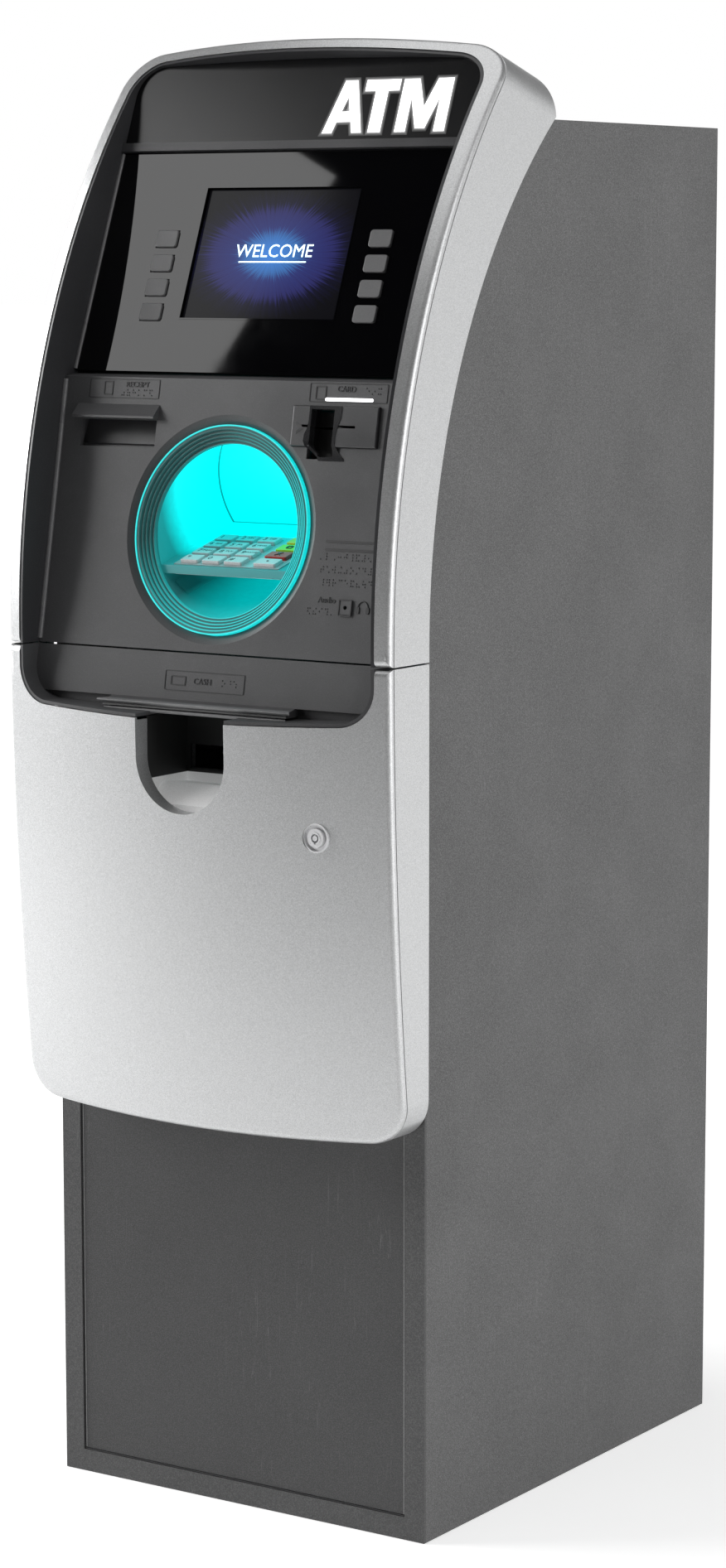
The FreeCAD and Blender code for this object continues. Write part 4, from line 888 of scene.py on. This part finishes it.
def stage():
    """A white floor whose own light fades under the object, so that a soft shadow stays."""
    bm = bmesh.new()
    bmesh.ops.create_grid(bm, x_segments=2, y_segments=2, size=60.0)
    mesh = bpy.data.meshes.new("floor")
    bm.to_mesh(mesh)
    bm.free()
    floor = bpy.data.objects.new("floor", mesh)
    floor.location = (0, 0, cad_box[0][2] - 0.0005)
    bpy.context.scene.collection.objects.link(floor)
    s = Shader("floor_paper", Roughness=0.9, Specular_IOR_Level=0.1, Emission_Color=WHITE)
    reach = s.length(s.place)
    ahead = s.remap(s.math("DIVIDE", s.dot(s.place, AHEAD), reach), *SECTOR, 0.0, 0.95)
    dim = s.product(ahead, s.remap(reach, 1.0, 2.0))
    white = s.remap(reach, 0.8, 2.4, 0.55, 1.0)
    s.set("Emission Strength", s.product(white, s.math("SUBTRACT", 1.0, dim)))
    patches = s.remap(s.noise(3.0, 3.0), 0.3, 0.7)
    s.set("Base Color", s.mix(patches, (0.80, 0.80, 0.80), (0.84, 0.84, 0.84)))
    mesh.materials.append(s.mat)


def area_light(name, width, height, watts):
    light = bpy.data.lights.new(name, "AREA")
    light.shape = "RECTANGLE"
    light.size = width
    light.size_y = height
    light.energy = watts
    made = bpy.data.objects.new(name, light)
    bpy.context.scene.collection.objects.link(made)
    return made


def softbox(name, at, to, width, height, watts):
    """A rectangular light that faces a point."""
    made = area_light(name, width, height, watts)
    made.location = at
    made.rotation_euler = (Vector(to) - Vector(at)).to_track_quat("-Z", "Y").to_euler()


def sky():
    """White near the horizon, dark above and dim ahead, so that the front is shaded sideways."""
    world = bpy.data.worlds.new("studio")
    world.use_nodes = True
    tree = world.node_tree
    place = tree.nodes.new("ShaderNodeTexCoord")
    split = tree.nodes.new("ShaderNodeSeparateXYZ")
    fade = tree.nodes.new("ShaderNodeMapRange")
    tree.links.new(place.outputs["Generated"], split.inputs["Vector"])
    tree.links.new(split.outputs["Z"], fade.inputs["Value"])
    limits = {"From Min": 0.14, "From Max": 0.34, "To Min": 1.0, "To Max": 0.015}
    for socket, value in limits.items():
        fade.inputs[socket].default_value = value
    facing = tree.nodes.new("ShaderNodeVectorMath")
    facing.operation = "DOT_PRODUCT"
    facing.inputs[1].default_value = AHEAD
    sector = tree.nodes.new("ShaderNodeMapRange")
    level = tree.nodes.new("ShaderNodeMath")
    level.operation = "MULTIPLY"
    tree.links.new(place.outputs["Generated"], facing.inputs[0])
    tree.links.new(facing.outputs["Value"], sector.inputs["Value"])
    limits = {"From Min": SECTOR[0], "From Max": SECTOR[1], "To Min": 1.0, "To Max": 0.06}
    for socket, value in limits.items():
        sector.inputs[socket].default_value = value
    tree.links.new(fade.outputs["Result"], level.inputs[0])
    tree.links.new(sector.outputs["Result"], level.inputs[1])
    tree.links.new(level.outputs["Value"], tree.nodes["Background"].inputs["Strength"])
    tree.nodes["Background"].inputs["Color"].default_value = (1.0, 1.0, 1.0, 1.0)
    bpy.context.scene.world = world


def placed(at, x, y, z):
    """The matrix that puts an object at a point with its three axes along x, y and z."""
    return Matrix.Translation(at) @ Matrix((x, y, z)).transposed().to_4x4()


def mirrored_box(name, span, wide, watts):
    """A bright panel placed so that its straight edge is mirrored across the screen as a diagonal."""
    eye = Vector(CAMERA_AT)
    normal = -screen.d
    hits = []
    for x, s in MIRROR_LINE:
        point = screen.at(x, s)
        ray = (point - eye).normalized()
        hits.append((point, ray - 2 * ray.dot(normal) * normal))
    middle = (hits[0][1] + hits[1][1]).normalized()
    ends = []
    for point, ray in hits:
        reach = (MIRROR_REACH - (point - screen.origin).dot(middle)) / ray.dot(middle)
        ends.append(point + ray * reach)
    along = (ends[1] - ends[0]).normalized()
    outward = along.cross(middle).normalized()
    if outward.x > 0:
        outward = -outward
    centre = ends[0] + along * sum(span) / 2 + outward * sum(wide) / 2
    made = area_light(name, span[1] - span[0], wide[1] - wide[0], watts)
    made.matrix_world = placed(centre, along, middle.cross(along), middle)


def camera():
    """Stands to the right front, looking slightly down, as far off as a portrait lens."""
    azimuth, down = radians(33.587), radians(8.28)
    back = Vector((sin(azimuth) * cos(down), -cos(azimuth) * cos(down), sin(down)))
    right = Vector((cos(azimuth), sin(azimuth), 0))
    up = back.cross(right)
    data = bpy.data.cameras.new("camera")
    data.sensor_width = 36.0
    data.lens = 88.73
    data.shift_x = -0.0157
    data.shift_y = 0.0187
    made = bpy.data.objects.new("camera", data)
    made.matrix_world = placed(CAMERA_AT, right, up, back)
    bpy.context.scene.collection.objects.link(made)
    bpy.context.scene.camera = made


stage()
camera()
sky()
mirrored_box("mirrored_near", (-0.45, 0.34), (0.0, 0.5), 3.3)
mirrored_box("mirrored_far", (-0.45, 0.35), (0.5, 0.8), 0.7)
bpy.context.scene.view_settings.view_transform = "Standard"
softbox("key", (-2.9, -1.2, 1.85), (0, -0.25, 0.7), 2.6, 1.7, 112)
softbox("fill", (3.4, -0.3, 1.5), (0, 0, 0.7), 1.8, 2.6, 44)
softbox("top", (0.2, -0.4, 3.6), (0, 0, 0), 3.2, 3.2, 45)
